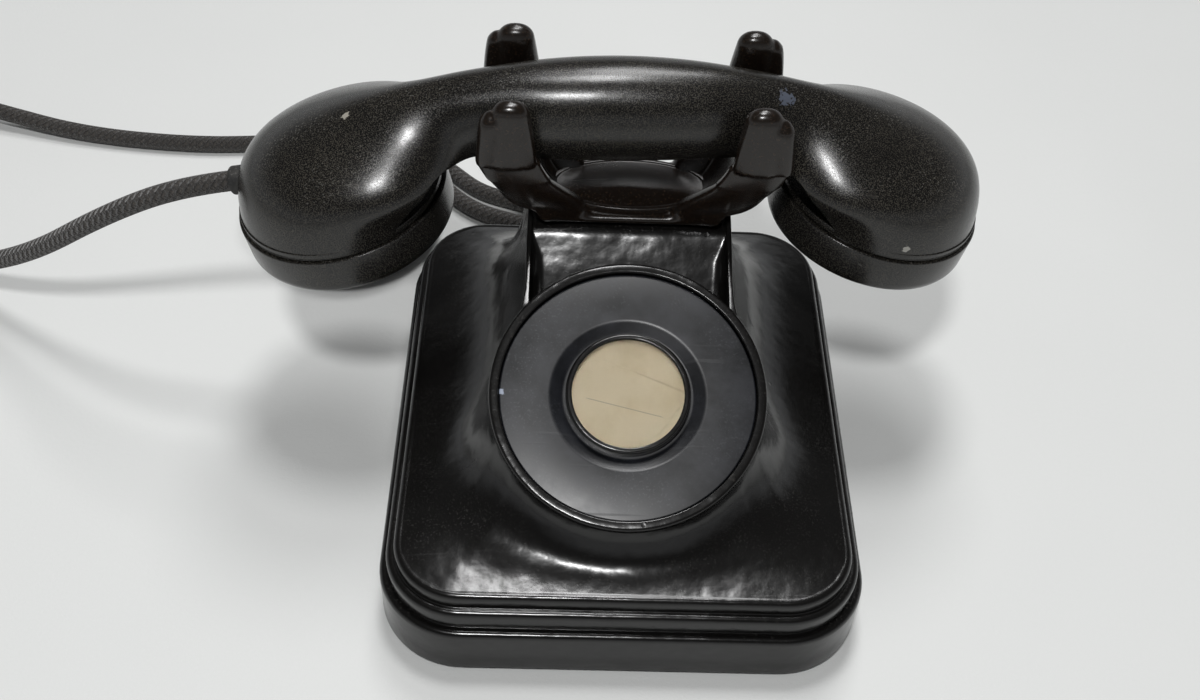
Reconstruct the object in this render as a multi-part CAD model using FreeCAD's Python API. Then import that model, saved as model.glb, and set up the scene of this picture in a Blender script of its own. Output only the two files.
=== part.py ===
import FreeCAD, Part
import math
import os

# Desk telephone of moulded black phenolic for a manual exchange: a blank with a card holder
# fills the place of the dial, and a handset lies across a four-horned cradle.
# Millimetres, +Z up, the front towards -Y. The pieces are placed about the middle of the
# housing's foot, and all are moved together at the end, so that the origin is the middle
# of the telephone's own box, on the surface that it stands on.

Vector = FreeCAD.Vector
X_AXIS = Vector(1, 0, 0)
Y_AXIS = Vector(0, 1, 0)
Z_AXIS = Vector(0, 0, 1)

# Housing
plinth_width = 146.0
plinth_depth = 170.0
plinth_corner = 26.0
foot_height = 2.0            # what the rubber feet lift the housing
plinth_top_z = 19.0
groove_height = 1.4
groove_inset = 3.2
band_height = 6.0
band_inset = 2.4
bead_height = 4.8
bead_inset = 5.0
brow_inset = 7.4             # from the plinth to the sharp edge where the flanks start
edge_round = 1.8
wall = 3.4

# Round seat for the dial or its blank
dial_y = -28.1
dial_z = 62.2
dial_tilt = 24.7             # degrees from level
collar_radius = 41.2
collar_proud = 0.8           # collar above the moulding round it
collar_step = 1.0            # and out from it
collar_depth = 9.0
collar_lip = 1.1
seat_radius = 38.3
seat_depth = 3.4
seat_hole_radius = 35.0

# Cheeks beside the cradle, and the shoulder between them
cheek_x = 31.6               # the sharp crest of each cheek
cheek_wall = 1.5
crest_front_y = -3.5
peak_y = 33.0
peak_z = 84.5
turret_back_y = 62.0
turret_back_z = 64.0
turret_corner = 12.0
shoulder_z = 80.0
shoulder_front_y = 27.0
shoulder_round = 21.0

# Dial blank with its card holder
blank_gap = 0.25
blank_thickness = 2.6
well_radius = 23.2
well_depth = 1.6
land_height = 1.8            # middle of the plate, on which the card lies, above the well round it
holder_radius = 18.5
holder_height = 3.8
holder_lip = 0.6
card_radius = 17.2
card_thickness = 0.4
window_thickness = 0.8
clamp_screw_circle = 36.6     # screws from behind, through the seat's ledge
clamp_screw_radius = 0.9
clamp_head_radius = 1.5
clamp_ledge = 2.6            # of the seat's ledge under each screw's head

# Cradle and its plunger
cradle_y = 39.2
horn_x = 36.4
horn_reach = 19.0            # cradle's middle to each horn's tip, front and back
horn_tip_z = 130.5
lobe_drop = 3.2              # how much lower each horn's outer lobe ends
lobe_x = 41.8
pad_z = 110.0                # crease under the pad on each horn's face
saddle_half_x = 43.4
saddle_half_y = 16.0
block_depth = 29.5
block_bottom_z = 81.0
block_top_z = 84.0
block_gap = 0.6
boss_length = 49.6
boss_depth = 25.0
boss_rise = 2.2
stem_radius = 3.0
stem_fit = 0.05
stem_bottom_z = 46.0
stem_collar_radius = 6.0
stem_collar_height = 2.5
bush_radius = 5.0
bush_flange_radius = 7.5
bush_flange = 2.0
spring_radius = 4.4
spring_wire = 0.9
spring_turns = 6
spring_seat_z = 24.0

# Handset
handset_x = -5.4
handset_yaw = 2.4            # it lies a little askew in its cradle
head_spacing = 84.7          # handle's middle to the axis of each cap
head_tilt = 11.7
joint_z = 83.8               # middle of each joint between head and cap
head_radius = 32.4
cap_radius = 33.4
cap_height = 13.2
cap_face = 3.2
joint_groove = 0.5
flange_height = 2.2
spigot_radius = 29.6
spigot_bore = 26.9
spigot_height = 5.0
pocket_radius = 16.0
pocket_depth = 10.0
capsule_radius = 26.4
capsule_height = 8.2
capsule_back_radius = 14.0
capsule_back_height = 6.0
handle_top_z = 131.0
handle_arch_radius = 217.0
handle_bottom_z = 99.0       # of the round section, before the hand gap flattens it
grip_half_depth = 15.1
neck_half_depth = 12.1
neck_x = 38.0
underside_z = 104.4
gap_top_x = 50.0
gap_foot_x = 66.0
gap_round = 7.0

# Cords: textile-braided, of round section
cord_radius = 3.25
cord_sides = 8
coil_step = 2 * cord_radius + 0.45       # from turn to turn and from layer to layer
table_z = cord_radius + 0.05
handset_coil_place = (-300.0, 130.0)
handset_coil_radius = 42.0
handset_coil_turns = 3.5                 # in both of its layers
line_coil_place = (-104.0, 110.0)
line_coil_radius = 34.7
line_coil_turns = 4.0
clockwise = -1
counterclockwise = 1
plug_radius = 9.0
plug_length = 30.0

# Clearance between pieces that are laid together
seat_gap = 0.3


def cylinder(radius, height, base, axis=Z_AXIS):
    return Part.makeCylinder(radius, height, base, axis)


def tube(outer, inner, height, base, axis=Z_AXIS):
    return cylinder(outer, height, base, axis).cut(cylinder(inner, height, base, axis))


def turned(profile, base, axis=Z_AXIS):
    """Solid of revolution: profile lists (radius, height) pairs, closed along the axis."""
    points = [Vector(radius, 0, height) for radius, height in profile]
    outline = Part.makePolygon(points + [points[0]])
    solid = Part.Face(outline).revolve(Vector(), Z_AXIS, 360)
    solid.Placement = FreeCAD.Placement(base, FreeCAD.Rotation(Z_AXIS, axis))
    return solid


def rounded_rect(half_x, half_y, corner, z, centre_y=0.0):
    """Closed wire of four lines and four arcs."""
    edges = []
    for turn in range(4):
        angle = math.radians(90 * turn)
        sign_x = (1, -1, -1, 1)[turn]
        sign_y = (1, 1, -1, -1)[turn]
        centre = Vector(sign_x * (half_x - corner), centre_y + sign_y * (half_y - corner), z)
        start = centre + corner * Vector(math.cos(angle), math.sin(angle), 0)
        middle = centre + corner * Vector(math.cos(angle + math.pi / 4), math.sin(angle + math.pi / 4), 0)
        end = centre + corner * Vector(math.cos(angle + math.pi / 2), math.sin(angle + math.pi / 2), 0)
        edges.append(Part.Arc(start, middle, end).toShape())
    sides = [Part.makeLine(edges[turn].Vertexes[-1].Point, edges[(turn + 1) % 4].Vertexes[0].Point)
             for turn in range(4)]
    ordered = [edge for pair in zip(edges, sides) for edge in pair]
    return Part.Wire(ordered)


def slab(inset, z, height, round_top=0.0):
    """Layer of the housing's foot: the plinth's outline drawn in by an inset, its top edge rounded."""
    levels = [(inset, z), (inset, z + height - round_top)]
    if round_top:
        levels += [(inset + round_top * (1 - math.cos(math.radians(angle))),
                    z + height - round_top * (1 - math.sin(math.radians(angle)))) for angle in (25, 50, 75, 90)]
    else:
        levels[1] = (inset, z + height)
    outlines = [rounded_rect(plinth_width / 2 - drawn_in, plinth_depth / 2 - drawn_in,
                             plinth_corner - drawn_in, level_z) for drawn_in, level_z in levels]
    return Part.makeLoft(outlines, True, True)


def extruded_x(points, half_width):
    """Prism along X from a side view's (y, z) points."""
    wire = Part.makePolygon([Vector(-half_width, y, z) for y, z in points + [points[0]]])
    return Part.Face(wire).extrude(Vector(2 * half_width, 0, 0))


def closed_spline(points):
    """Smooth loop whose knots depend only on the number of points, so that lofts stay light."""
    curve = Part.BSplineCurve()
    count = len(points)
    curve.interpolate(Points=points, PeriodicFlag=True, Parameters=[i / count for i in range(count + 1)])
    return Part.Wire(curve.toShape())


def skinned_solid(loops):
    """Solid with one smooth skin over loops of points, closed by flat ends."""
    rings = [closed_spline(loop).Edges[0].Curve for loop in loops]
    middles = [sum(loop, Vector()) / len(loop) for loop in loops]
    spans = [(after - before).Length for before, after in zip(middles, middles[1:])]
    places = [sum(spans[:index]) / sum(spans) for index in range(len(loops))]
    columns = []
    for pole in zip(*[ring.getPoles() for ring in rings]):
        column = Part.BSplineCurve()
        column.interpolate(Points=list(pole), Parameters=places)
        columns.append(column)
    skin = Part.BSplineSurface()
    skin.buildFromPolesMultsKnots([column.getPoles() for column in columns],
                                  rings[0].getMultiplicities(), columns[0].getMultiplicities(),
                                  rings[0].getKnots(), columns[0].getKnots(), True, False,
                                  rings[0].Degree, columns[0].Degree)
    faces = [skin.toShape()] + [Part.Face(Part.Wire(ring.toShape())) for ring in (rings[0], rings[-1])]
    shell = Part.Shell(faces)
    shell.sewShape()
    solid = Part.Solid(shell)
    if solid.Volume < 0:
        solid.reverse()
    return solid


tilt = math.radians(dial_tilt)
dial_axis = Vector(0, -math.sin(tilt), math.cos(tilt))
dial_centre = Vector(0, dial_y, dial_z)


def dial_plane_z(y):
    return dial_z + (y - dial_y) * math.tan(tilt)


brow_z = plinth_top_z + groove_height + band_height + bead_height
ray_y = -5.0                 # the flanks fan out in plan from here


def foot_distance(angle, half_x, half_y, corner, centre_y=0.0):
    """Distance at which a ray from the fan's centre leaves a rounded rectangle."""
    near, far = 0.0, 200.0
    for _ in range(40):
        middle = (near + far) / 2
        x = abs(middle * math.cos(angle))
        y = abs(ray_y + middle * math.sin(angle) - centre_y)
        over_x = max(x - (half_x - corner), 0)
        over_y = max(y - (half_y - corner), 0)
        inside = x <= half_x and y <= half_y and math.hypot(over_x, over_y) <= corner
        near, far = (middle, far) if inside else (near, middle)
    return near


def dial_edge_distance(angle, radius):
    """Distance along the same ray to the plan view of the tilted dial circle."""
    dx, dy = math.cos(angle), math.sin(angle)
    narrow = radius * math.cos(tilt)
    offset = ray_y - dial_y
    a = (dx / radius) ** 2 + (dy / narrow) ** 2
    b = 2 * offset * dy / narrow ** 2
    c = (offset / narrow) ** 2 - 1
    return (-b + math.sqrt(b * b - 4 * a * c)) / (2 * a)


def top_distance(angle, inset):
    """Distance to the plan of the collar or of the turret behind it, whichever is further out."""
    turret_half_y = 50.0
    turret = foot_distance(angle, cheek_x - inset, turret_half_y, turret_corner,
                           turret_back_y - inset - turret_half_y)
    return max(dial_edge_distance(angle, collar_radius - collar_step - inset), turret)


def crest_z(y):
    """Height of the moulding's top in side view."""
    front_z = dial_plane_z(crest_front_y)
    if y < crest_front_y:
        return dial_plane_z(y)
    if y < peak_y:
        return front_z + (peak_z - front_z) * (y - crest_front_y) / (peak_y - crest_front_y)
    share = (y - peak_y) / (turret_back_y - peak_y)
    return peak_z - (peak_z - turret_back_z) * share ** 2.6


def station_angles():
    """Ray directions that follow the foot's outline: close together round its corners."""
    half_x = plinth_width / 2 - brow_inset
    half_y = plinth_depth / 2 - brow_inset
    corner = plinth_corner - brow_inset
    points = []
    for sign_x, sign_y, start in ((1, 1, 0), (-1, 1, 90), (-1, -1, 180), (1, -1, 270)):
        centre = (sign_x * (half_x - corner), sign_y * (half_y - corner))
        for step in range(5):
            angle = math.radians(start + 22.5 * step)
            points.append((centre[0] + corner * math.cos(angle), centre[1] + corner * math.sin(angle)))
        if start in (0, 180):
            points += [(sign_x * (half_x - corner) * share, sign_y * half_y) for share in (0.5, 0.0, -0.5)]
        else:
            points += [(sign_x * half_x, sign_y * (half_y - corner) * share) for share in (0.6, 0.2, -0.2, -0.6)]
    return [math.atan2(y - ray_y, x) for x, y in points]


# How the flank rises as it moves in from the foot: share moved in, share risen
flank_course = ((0.0, 0.0), (0.36, 0.09), (0.66, 0.25), (0.87, 0.52), (1.0, 1.0))
sky_z = 105.0                # above everything that trims the flared body


def flank_ring(inset, base_z, moved, risen):
    """One level of the flank: from the foot's outline to the collar and the cheeks."""
    half_x = plinth_width / 2 - brow_inset - inset
    half_y = plinth_depth / 2 - brow_inset - inset
    ring = []
    for angle in station_angles():
        foot = foot_distance(angle, half_x, half_y, plinth_corner - brow_inset - inset)
        top = top_distance(angle, inset)
        distance = foot + (top - foot) * moved
        top_z = crest_z(ray_y + top * math.sin(angle)) - inset
        ring.append(Vector(distance * math.cos(angle), ray_y + distance * math.sin(angle),
                           base_z + (top_z - base_z) * risen))
    return ring


def flank_lid(inset):
    """The same outline's top, carried up to a level plane."""
    return [Vector(top_distance(angle, inset) * math.cos(angle),
                   ray_y + top_distance(angle, inset) * math.sin(angle), sky_z) for angle in station_angles()]


def flared_body():
    rings = [flank_ring(0.0, brow_z, moved, risen) for moved, risen in flank_course]
    wires = [closed_spline(ring) for ring in rings + [flank_lid(0.0)]]
    return Part.makeLoft(wires, True, False)


def flared_hollow():
    """Room inside the flared body, with plain facets: nothing shows it."""
    rings = [flank_ring(wall, brow_z - wall, moved, risen) for moved, risen in flank_course]
    wires = [Part.makePolygon(ring + [ring[0]]) for ring in rings + [flank_lid(wall)]]
    return Part.makeLoft(wires, True, True)


def side_view_region(lowered):
    """What lies under the moulding's top, drawn in side view and run across the housing."""
    back = [peak_y + (turret_back_y + 4 - peak_y) * share for share in (0.3, 0.5, 0.65, 0.8, 0.9, 1.0)]
    top = [(y, crest_z(y) - lowered) for y in [-95.0, crest_front_y, peak_y] + back]
    return extruded_x([(-95.0, -1.0)] + top + [(95.0, top[-1][1] - 8), (95.0, -1.0)], plinth_width)


def at_dial(x, across, out):
    """Point on the dial: x to the right, up the dial's face, and out along its axis."""
    up_face = Vector(0, math.cos(tilt), math.sin(tilt))
    return dial_centre + x * X_AXIS + across * up_face + out * dial_axis


def recess_between_cheeks():
    """Room over the shoulder, drawn in side view: the shoulder rounds down to the collar."""
    centre_z = shoulder_z - shoulder_round
    arc = [(shoulder_front_y - shoulder_round * math.sin(math.radians(angle)),
            centre_z + shoulder_round * math.cos(math.radians(angle))) for angle in (75, 60, 45, 30, 15, 0)]
    low_y, low_z = arc[0]
    outline = [(low_y - 14, sky_z), (low_y - 14, low_z - 6)] + arc
    outline += [(turret_back_y + 12, shoulder_z), (turret_back_y + 12, sky_z)]
    return extruded_x(outline, cheek_x - cheek_wall)


# Fixings in the foot
foot_screw_x = plinth_width / 2 - 17.0
foot_screw_y = plinth_depth / 2 - 17.0
corner_signs = [(sign_x, sign_y) for sign_x in (-1, 1) for sign_y in (-1, 1)]
plate_thickness = 1.6
plate_top_z = foot_height + plate_thickness
boss_radius = 4.5
base_screw_radius = 1.6
base_screw_length = 11.0
cord_exit_z = 9.6
handset_cord_exit_x = -12.0
line_cord_exit_x = -26.0
grommet_neck_radius = 4.6
shoulder_floor = 7.4         # moulding under the cradle, thick enough for the plunger's bush


def cavity():
    """Everything hollow inside the housing, from the base plate up."""
    room = slab(wall, 0.0, plinth_top_z - wall)
    room = room.fuse(slab(brow_inset + wall, plinth_top_z - wall - 1, brow_z - plinth_top_z + 1))
    under_floor = [(crest_front_y - 4, 0.0), (crest_front_y - 4, dial_plane_z(crest_front_y) - 9),
                   (shoulder_front_y - shoulder_round, shoulder_z - shoulder_round - 2),
                   (shoulder_front_y - 7, shoulder_z - shoulder_floor), (95.0, shoulder_z - shoulder_floor), (95.0, 0.0)]
    front = Part.makeBox(plinth_width, 95 + crest_front_y, 100, Vector(-plinth_width / 2, -95, 0))
    allowed = side_view_region(seat_depth + wall).common(front.fuse(extruded_x(under_floor, plinth_width)))
    return room.fuse(flared_hollow().common(allowed))


def housing():
    groove_z = plinth_top_z + groove_height
    shell = slab(0.0, foot_height, plinth_top_z - foot_height, edge_round)
    shell = shell.fuse(slab(groove_inset, plinth_top_z - 1, groove_height + 1))
    shell = shell.fuse(slab(band_inset, groove_z, band_height, edge_round))
    shell = shell.fuse(slab(bead_inset, groove_z + band_height, bead_height, edge_round))
    shell = shell.fuse(flared_body().common(side_view_region(0.0)).cut(recess_between_cheeks()))
    collar = turned([(0, 0), (collar_radius, 0), (collar_radius, collar_depth + collar_proud - collar_lip),
                     (collar_radius - 0.35, collar_depth + collar_proud - 0.35),
                     (collar_radius - collar_lip, collar_depth + collar_proud),
                     (0, collar_depth + collar_proud)], at_dial(0, 0, -collar_depth), dial_axis)
    shell = shell.fuse(collar).cut(cavity())
    for sign_x, sign_y in corner_signs:
        place = Vector(sign_x * foot_screw_x, sign_y * foot_screw_y, plate_top_z)
        shell = shell.fuse(cylinder(boss_radius, brow_z - plate_top_z - 4, place))
        shell = shell.cut(cylinder(base_screw_radius, base_screw_length, place))
    shell = shell.cut(cylinder(seat_radius, 20, at_dial(0, 0, -seat_depth), dial_axis))
    shell = shell.cut(cylinder(seat_hole_radius, 25, at_dial(0, 0, -seat_depth - 20), dial_axis))
    for place in clamp_screw_places():
        shell = shell.cut(cylinder(clamp_screw_radius, 8, place - 8 * dial_axis, dial_axis))
        shell = shell.cut(cylinder(clamp_head_radius + 0.3, 6, place - (clamp_ledge + 6) * dial_axis, dial_axis))
    shell = shell.cut(cylinder(bush_radius, 30, Vector(0, cradle_y, shoulder_z - 15)))
    for x in (handset_cord_exit_x, line_cord_exit_x):
        hole = cylinder(grommet_neck_radius, 30, Vector(x, plinth_depth / 2 - 15, cord_exit_z), Y_AXIS)
        shell = shell.cut(hole)
    return shell


def clamp_screw_places():
    """Where the blank's three screws enter it, on the floor of its seat."""
    return [at_dial(clamp_screw_circle * math.cos(math.radians(angle)),
                    clamp_screw_circle * math.sin(math.radians(angle)), -seat_depth) for angle in (90, 210, 330)]


# Base: plate, feet and screws

foot_radius = 7.0
foot_neck_radius = 3.0
foot_spot_x = 44.0
foot_spot_y = 60.0


def base_plate():
    plate = slab(wall + seat_gap, foot_height, plate_thickness)
    for sign_x, sign_y in corner_signs:
        plate = plate.cut(cylinder(base_screw_radius + 0.3, 5, Vector(sign_x * foot_screw_x, sign_y * foot_screw_y, 0)))
        plate = plate.cut(cylinder(foot_neck_radius, 5, Vector(sign_x * foot_spot_x, sign_y * foot_spot_y, 0)))
    return plate


def rubber_feet():
    profile = [(0, 0), (foot_radius - 0.8, 0), (foot_radius, 0.8), (foot_radius, foot_height),
               (foot_neck_radius, foot_height), (foot_neck_radius, plate_top_z),
               (foot_neck_radius + 1.2, plate_top_z), (foot_neck_radius + 0.4, plate_top_z + 1.6),
               (0, plate_top_z + 1.6)]
    return Part.makeCompound([turned(profile, Vector(sign_x * foot_spot_x, sign_y * foot_spot_y, 0))
                              for sign_x, sign_y in corner_signs])


def screw(place, axis, shank_radius, shank_length, head_radius, head_height):
    """Plain screw: the shank points along the axis from its place, the head the other way."""
    shank = cylinder(shank_radius, shank_length, place, axis)
    return shank.fuse(cylinder(head_radius, head_height, place - head_height * axis, axis))


def base_screws():
    return Part.makeCompound([
        screw(Vector(sign_x * foot_screw_x, sign_y * foot_screw_y, foot_height), Z_AXIS,
              base_screw_radius - 0.05, plate_thickness + base_screw_length - 1, 3.2, 1.3)
        for sign_x, sign_y in corner_signs])


# Dial blank and card holder

def dial_blank():
    outer = seat_radius - blank_gap
    top = blank_thickness
    floor = top - well_depth
    profile = [(0, 0), (outer, 0), (outer, top - 0.4), (outer - 0.4, top), (well_radius, top),
               (holder_radius + 0.9, floor), (card_radius, floor), (card_radius, floor + land_height),
               (0, floor + land_height)]
    blank = turned(profile, at_dial(0, 0, -seat_depth), dial_axis)
    for place in clamp_screw_places():
        blank = blank.cut(cylinder(clamp_screw_radius, blank_thickness - 0.8, place, dial_axis))
    return blank


def clamp_screws():
    return Part.makeCompound([screw(place - clamp_ledge * dial_axis, dial_axis, clamp_screw_radius - 0.05,
                                    clamp_ledge + blank_thickness - 1.0, clamp_head_radius, 0.9)
                              for place in clamp_screw_places()])


well_floor = -seat_depth + blank_thickness - well_depth


def card_ring():
    """Ring that holds the card: its inner lip laps over the edge of the window."""
    lip_z = land_height + card_thickness + window_thickness
    inner = card_radius + 0.1
    profile = [(inner, 0), (holder_radius, 0), (holder_radius, holder_height - 0.5),
               (holder_radius - 0.5, holder_height), (card_radius - holder_lip + 0.3, holder_height),
               (card_radius - holder_lip, lip_z), (inner, lip_z)]
    return turned(profile, at_dial(0, 0, well_floor), dial_axis)


def number_card():
    return cylinder(card_radius, card_thickness, at_dial(0, 0, well_floor + land_height), dial_axis)


def card_window():
    place = at_dial(0, 0, well_floor + land_height + card_thickness)
    return cylinder(card_radius, window_thickness, place, dial_axis)


# Cradle

def oval(half_x, half_y, centre, power=2.4, count=16):
    """Closed level curve between an ellipse and a rectangle, by its power."""
    points = []
    for step in range(count):
        angle = 2 * math.pi * step / count
        c, s = math.cos(angle), math.sin(angle)
        x = half_x * math.copysign(abs(c) ** (2 / power), c)
        y = half_y * math.copysign(abs(s) ** (2 / power), s)
        points.append(centre + Vector(x, y, 0))
    return closed_spline(points)


def lofted_ovals(levels, side, end):
    """Loft through (z, x, y, half_x, half_y) levels, mirrored to a side and an end of the cradle."""
    wires = [oval(half_x, half_y, Vector(side * x, cradle_y + end * y, z)) for z, x, y, half_x, half_y in levels]
    return Part.makeLoft(wires, True, False)


def horn(side, end):
    """One arm, which swings out and up from the deck, with its two-lobed finger."""
    arm = lofted_ovals([(83.0, 20.5, 9.8, 8.0, 4.4), (88.0, 23.4, 11.6, 8.8, 4.4),
                        (93.0, 27.6, 14.4, 9.8, 4.4), (98.0, 31.2, 17.0, 9.8, 4.3),
                        (103.5, 34.4, 19.4, 9.4, 3.9), (pad_z, 37.4, 20.1, 9.4, 3.7)], side, end)
    tip = horn_tip_z
    finger = lofted_ovals([(104.0, 35.6, 19.6, 7.6, 3.8), (pad_z + 2, 36.2, 20.0, 7.2, 4.0),
                           (118.0, 36.3, 19.8, 6.2, 4.0), (tip - 5.5, horn_x, horn_reach, 5.1, 3.8),
                           (tip - 2.3, horn_x, horn_reach, 4.3, 3.2), (tip - 0.7, horn_x, horn_reach, 2.9, 2.1),
                           (tip, horn_x, horn_reach, 0.9, 0.7)], side, end)
    low = tip - lobe_drop
    lobe = lofted_ovals([(104.0, 41.4, 20.4, 3.4, 3.4), (pad_z + 2, 43.0, 20.5, 3.6, 3.4),
                         (low - 5, 42.2, 20.1, 3.4, 3.4), (low - 1.6, lobe_x, 19.8, 2.7, 2.7),
                         (low, lobe_x, 19.8, 0.8, 0.8)], side, end)
    return arm.fuse(finger).fuse(lobe)


def yoke(side):
    """Web that carries the handle, over the cheek from the deck to between the horns."""
    under = [(27.0, 82.0), (29.4, 86.0), (33.0, 87.2), (37.6, 90.0), (41.0, 94.6), (saddle_half_x, 100.5)]
    over = [(saddle_half_x, underside_z - 0.1), (33.0, underside_z - 0.1), (31.0, 101.5), (28.5, 95.0),
            (25.2, 88.5), (21.0, block_top_z)]
    curve = Part.BSplineCurve()
    curve.interpolate([Vector(side * x, 0, z) for x, z in under])
    inner = Part.BSplineCurve()
    inner.interpolate([Vector(side * x, 0, z) for x, z in over[1:]])
    lines = [Part.makeLine(Vector(side * under[-1][0], 0, under[-1][1]), Vector(side * over[0][0], 0, over[0][1])),
             Part.makeLine(Vector(side * over[0][0], 0, over[0][1]), Vector(side * over[1][0], 0, over[1][1]))]
    closing = Part.makeLine(Vector(side * over[-1][0], 0, over[-1][1]), Vector(side * under[0][0], 0, under[0][1]))
    wire = Part.Wire([curve.toShape()] + lines + [inner.toShape(), closing])
    web = Part.Face(wire).extrude(Vector(0, 2 * saddle_half_y, 0))
    web.translate(Vector(0, cradle_y - saddle_half_y, 0))
    return web


def cradle():
    half_x = cheek_x - cheek_wall - block_gap
    half_y = block_depth / 2
    levels = [(0.8, block_bottom_z), (0.0, block_bottom_z + 0.8), (0.0, block_top_z - 1.0), (1.0, block_top_z)]
    block = Part.makeLoft([rounded_rect(half_x - inset, half_y - inset, 3.0 - inset, z, cradle_y)
                           for inset, z in levels], True, True)
    centre = Vector(0, cradle_y, 0)
    boss = Part.makeLoft([oval(boss_length / 2 - inset, boss_depth / 2 - inset, centre + z * Z_AXIS, 2.0, 24)
                          for inset, z in ((-0.4, block_top_z - 0.5), (0.0, block_top_z + boss_rise - 0.4),
                                           (0.6, block_top_z + boss_rise))], True, True)
    body = block.fuse(boss)
    for side in (-1, 1):
        body = body.fuse(yoke(side))
        for end in (-1, 1):
            body = body.fuse(horn(side, end))
    body = body.cut(cylinder(stem_radius, 4, Vector(0, cradle_y, block_bottom_z - 1)))
    return body


def cradle_stem():
    profile = [(0, 0), (stem_collar_radius, 0), (stem_collar_radius, stem_collar_height),
               (stem_radius, stem_collar_height), (stem_radius, block_bottom_z + 3 - stem_bottom_z),
               (0, block_bottom_z + 3 - stem_bottom_z)]
    return turned(profile, Vector(0, cradle_y, stem_bottom_z))


def stem_bush():
    bore = stem_radius + stem_fit
    floor_z = shoulder_z - shoulder_floor
    profile = [(bore, -bush_flange), (bush_flange_radius, -bush_flange), (bush_flange_radius, 0),
               (bush_radius, 0), (bush_radius, shoulder_floor), (bore, shoulder_floor)]
    return turned(profile, Vector(0, cradle_y, floor_z))


def faceted_tube(points, radius, sides):
    """Round wire or cord along closely set points, as a ruled loft of many-sided sections."""
    sections = []
    side_way = None
    for index, point in enumerate(points):
        ahead = points[min(index + 1, len(points) - 1)]
        behind = points[max(index - 1, 0)]
        along = (ahead - behind).normalize()
        if side_way is None:
            side_way = (along.cross(Z_AXIS) if abs(along.z) < 0.9 else along.cross(X_AXIS)).normalize()
        side_way = (side_way - along * side_way.dot(along)).normalize()
        other = along.cross(side_way)
        ring = [point + radius * (math.cos(2 * math.pi * step / sides) * side_way
                                  + math.sin(2 * math.pi * step / sides) * other) for step in range(sides)]
        sections.append(Part.makePolygon(ring + [ring[0]]))
    return Part.makeLoft(sections, True, True)


def return_spring():
    """Coil spring under the plunger's collar, its end turns wound flat."""
    low = spring_seat_z + spring_wire / 2
    climb = stem_bottom_z - spring_seat_z - spring_wire
    end_turns = 0.75
    steps_per_turn = 12
    points = []
    for step in range(round((spring_turns + 2 * end_turns) * steps_per_turn) + 1):
        turn = step / steps_per_turn
        share = min(max((turn - end_turns) / spring_turns, 0.0), 1.0)
        angle = 2 * math.pi * turn
        points.append(Vector(spring_radius * math.cos(angle), cradle_y + spring_radius * math.sin(angle),
                             low + climb * share))
    return faceted_tube(points, spring_wire / 2, 6)


# Hook switch under the plunger

pivot_x = 25.0
pivot_z = 43.6
lever_half_y = 3.0
frame_inner_y = 3.4
frame_sheet = 1.0
lever_gap = 0.3


def extruded_y(points, half_depth, centre_y=cradle_y):
    """Prism along Y from a front view's (x, z) points."""
    wire = Part.makePolygon([Vector(x, centre_y - half_depth, z) for x, z in points + [points[0]]])
    return Part.Face(wire).extrude(Vector(0, 2 * half_depth, 0))


def box_from(x0, x1, y0, y1, z0, z1):
    return Part.makeBox(x1 - x0, y1 - y0, z1 - z0, Vector(x0, y0, z0))


def switch_frame():
    side = [(-9.0, plate_top_z), (30.0, plate_top_z), (30.0, plate_top_z + 6), (28.5, 36.0), (28.5, 47.0),
            (21.5, 47.0), (17.0, 30.0), (10.0, spring_seat_z), (-9.0, spring_seat_z)]
    frame = extruded_y(side, frame_inner_y + frame_sheet).cut(extruded_y(
        [(-20.0, 0.0), (40.0, 0.0), (40.0, 60.0), (-20.0, 60.0)], frame_inner_y))
    shelf_y = 8.0
    shelf = box_from(-9.0, 10.0, cradle_y - shelf_y, cradle_y + shelf_y, spring_seat_z - frame_sheet, spring_seat_z)
    frame = frame.fuse(shelf)
    for end in (-1, 1):
        near = cradle_y + end * (frame_inner_y + frame_sheet / 2)
        far = cradle_y + end * 12.0
        frame = frame.fuse(box_from(-9.0, 30.0, min(near, far), max(near, far), plate_top_z, plate_top_z + frame_sheet))
    return frame.cut(cylinder(1.5, 20, Vector(pivot_x, cradle_y - 10, pivot_z), Y_AXIS))


def switch_lever():
    tip_top = stem_bottom_z - lever_gap
    outline = [(5.2, tip_top - 0.8), (6.4, tip_top), (pivot_x, tip_top + 0.6), (pivot_x + 2.8, pivot_z),
               (pivot_x + 1.8, 31.0), (pivot_x + 0.2, 30.0), (pivot_x - 1.2, 31.0), (pivot_x - 1.8, pivot_z - 3.2),
               (pivot_x - 5.0, tip_top - 3.0), (6.4, tip_top - 2.0)]
    lever = extruded_y(outline, lever_half_y)
    return lever.cut(cylinder(1.55, 20, Vector(pivot_x, cradle_y - 10, pivot_z), Y_AXIS))


def lever_pin():
    reach = frame_inner_y + frame_sheet
    pin = cylinder(1.5, 2 * reach, Vector(pivot_x, cradle_y - reach, pivot_z), Y_AXIS)
    for end in (-1, 1):
        face_y = cradle_y + end * reach
        pin = pin.fuse(cylinder(2.3, 0.9, Vector(pivot_x, face_y, pivot_z), end * Y_AXIS))
    return pin


leaf_thickness = 0.4
leaf_xs = [pivot_x + 2.1 + leaf_thickness / 2, pivot_x + 5.6, pivot_x + 8.8]


def contact_springs():
    """Three flat springs; the lever's foot bears on the first."""
    leaves = []
    for index, x in enumerate(leaf_xs):
        top = 33.0 + 1.5 * index
        leaf = box_from(x - leaf_thickness / 2, x + leaf_thickness / 2, cradle_y - 2.4, cradle_y + 2.4,
                        plate_top_z + 2.0, top)
        leaves.append(leaf)
    return Part.makeCompound(leaves)


def contact_stack():
    """Insulating block that clamps the contact springs."""
    block = box_from(leaf_xs[0] - 2.2, leaf_xs[-1] + 2.6, cradle_y - 3.3, cradle_y + 3.3,
                     plate_top_z, plate_top_z + 9.0)
    for leaf in contact_springs().Solids:
        block = block.cut(leaf)
    return block


# Ringer: two gongs with a clapper that a polarised armature swings between them

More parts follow.
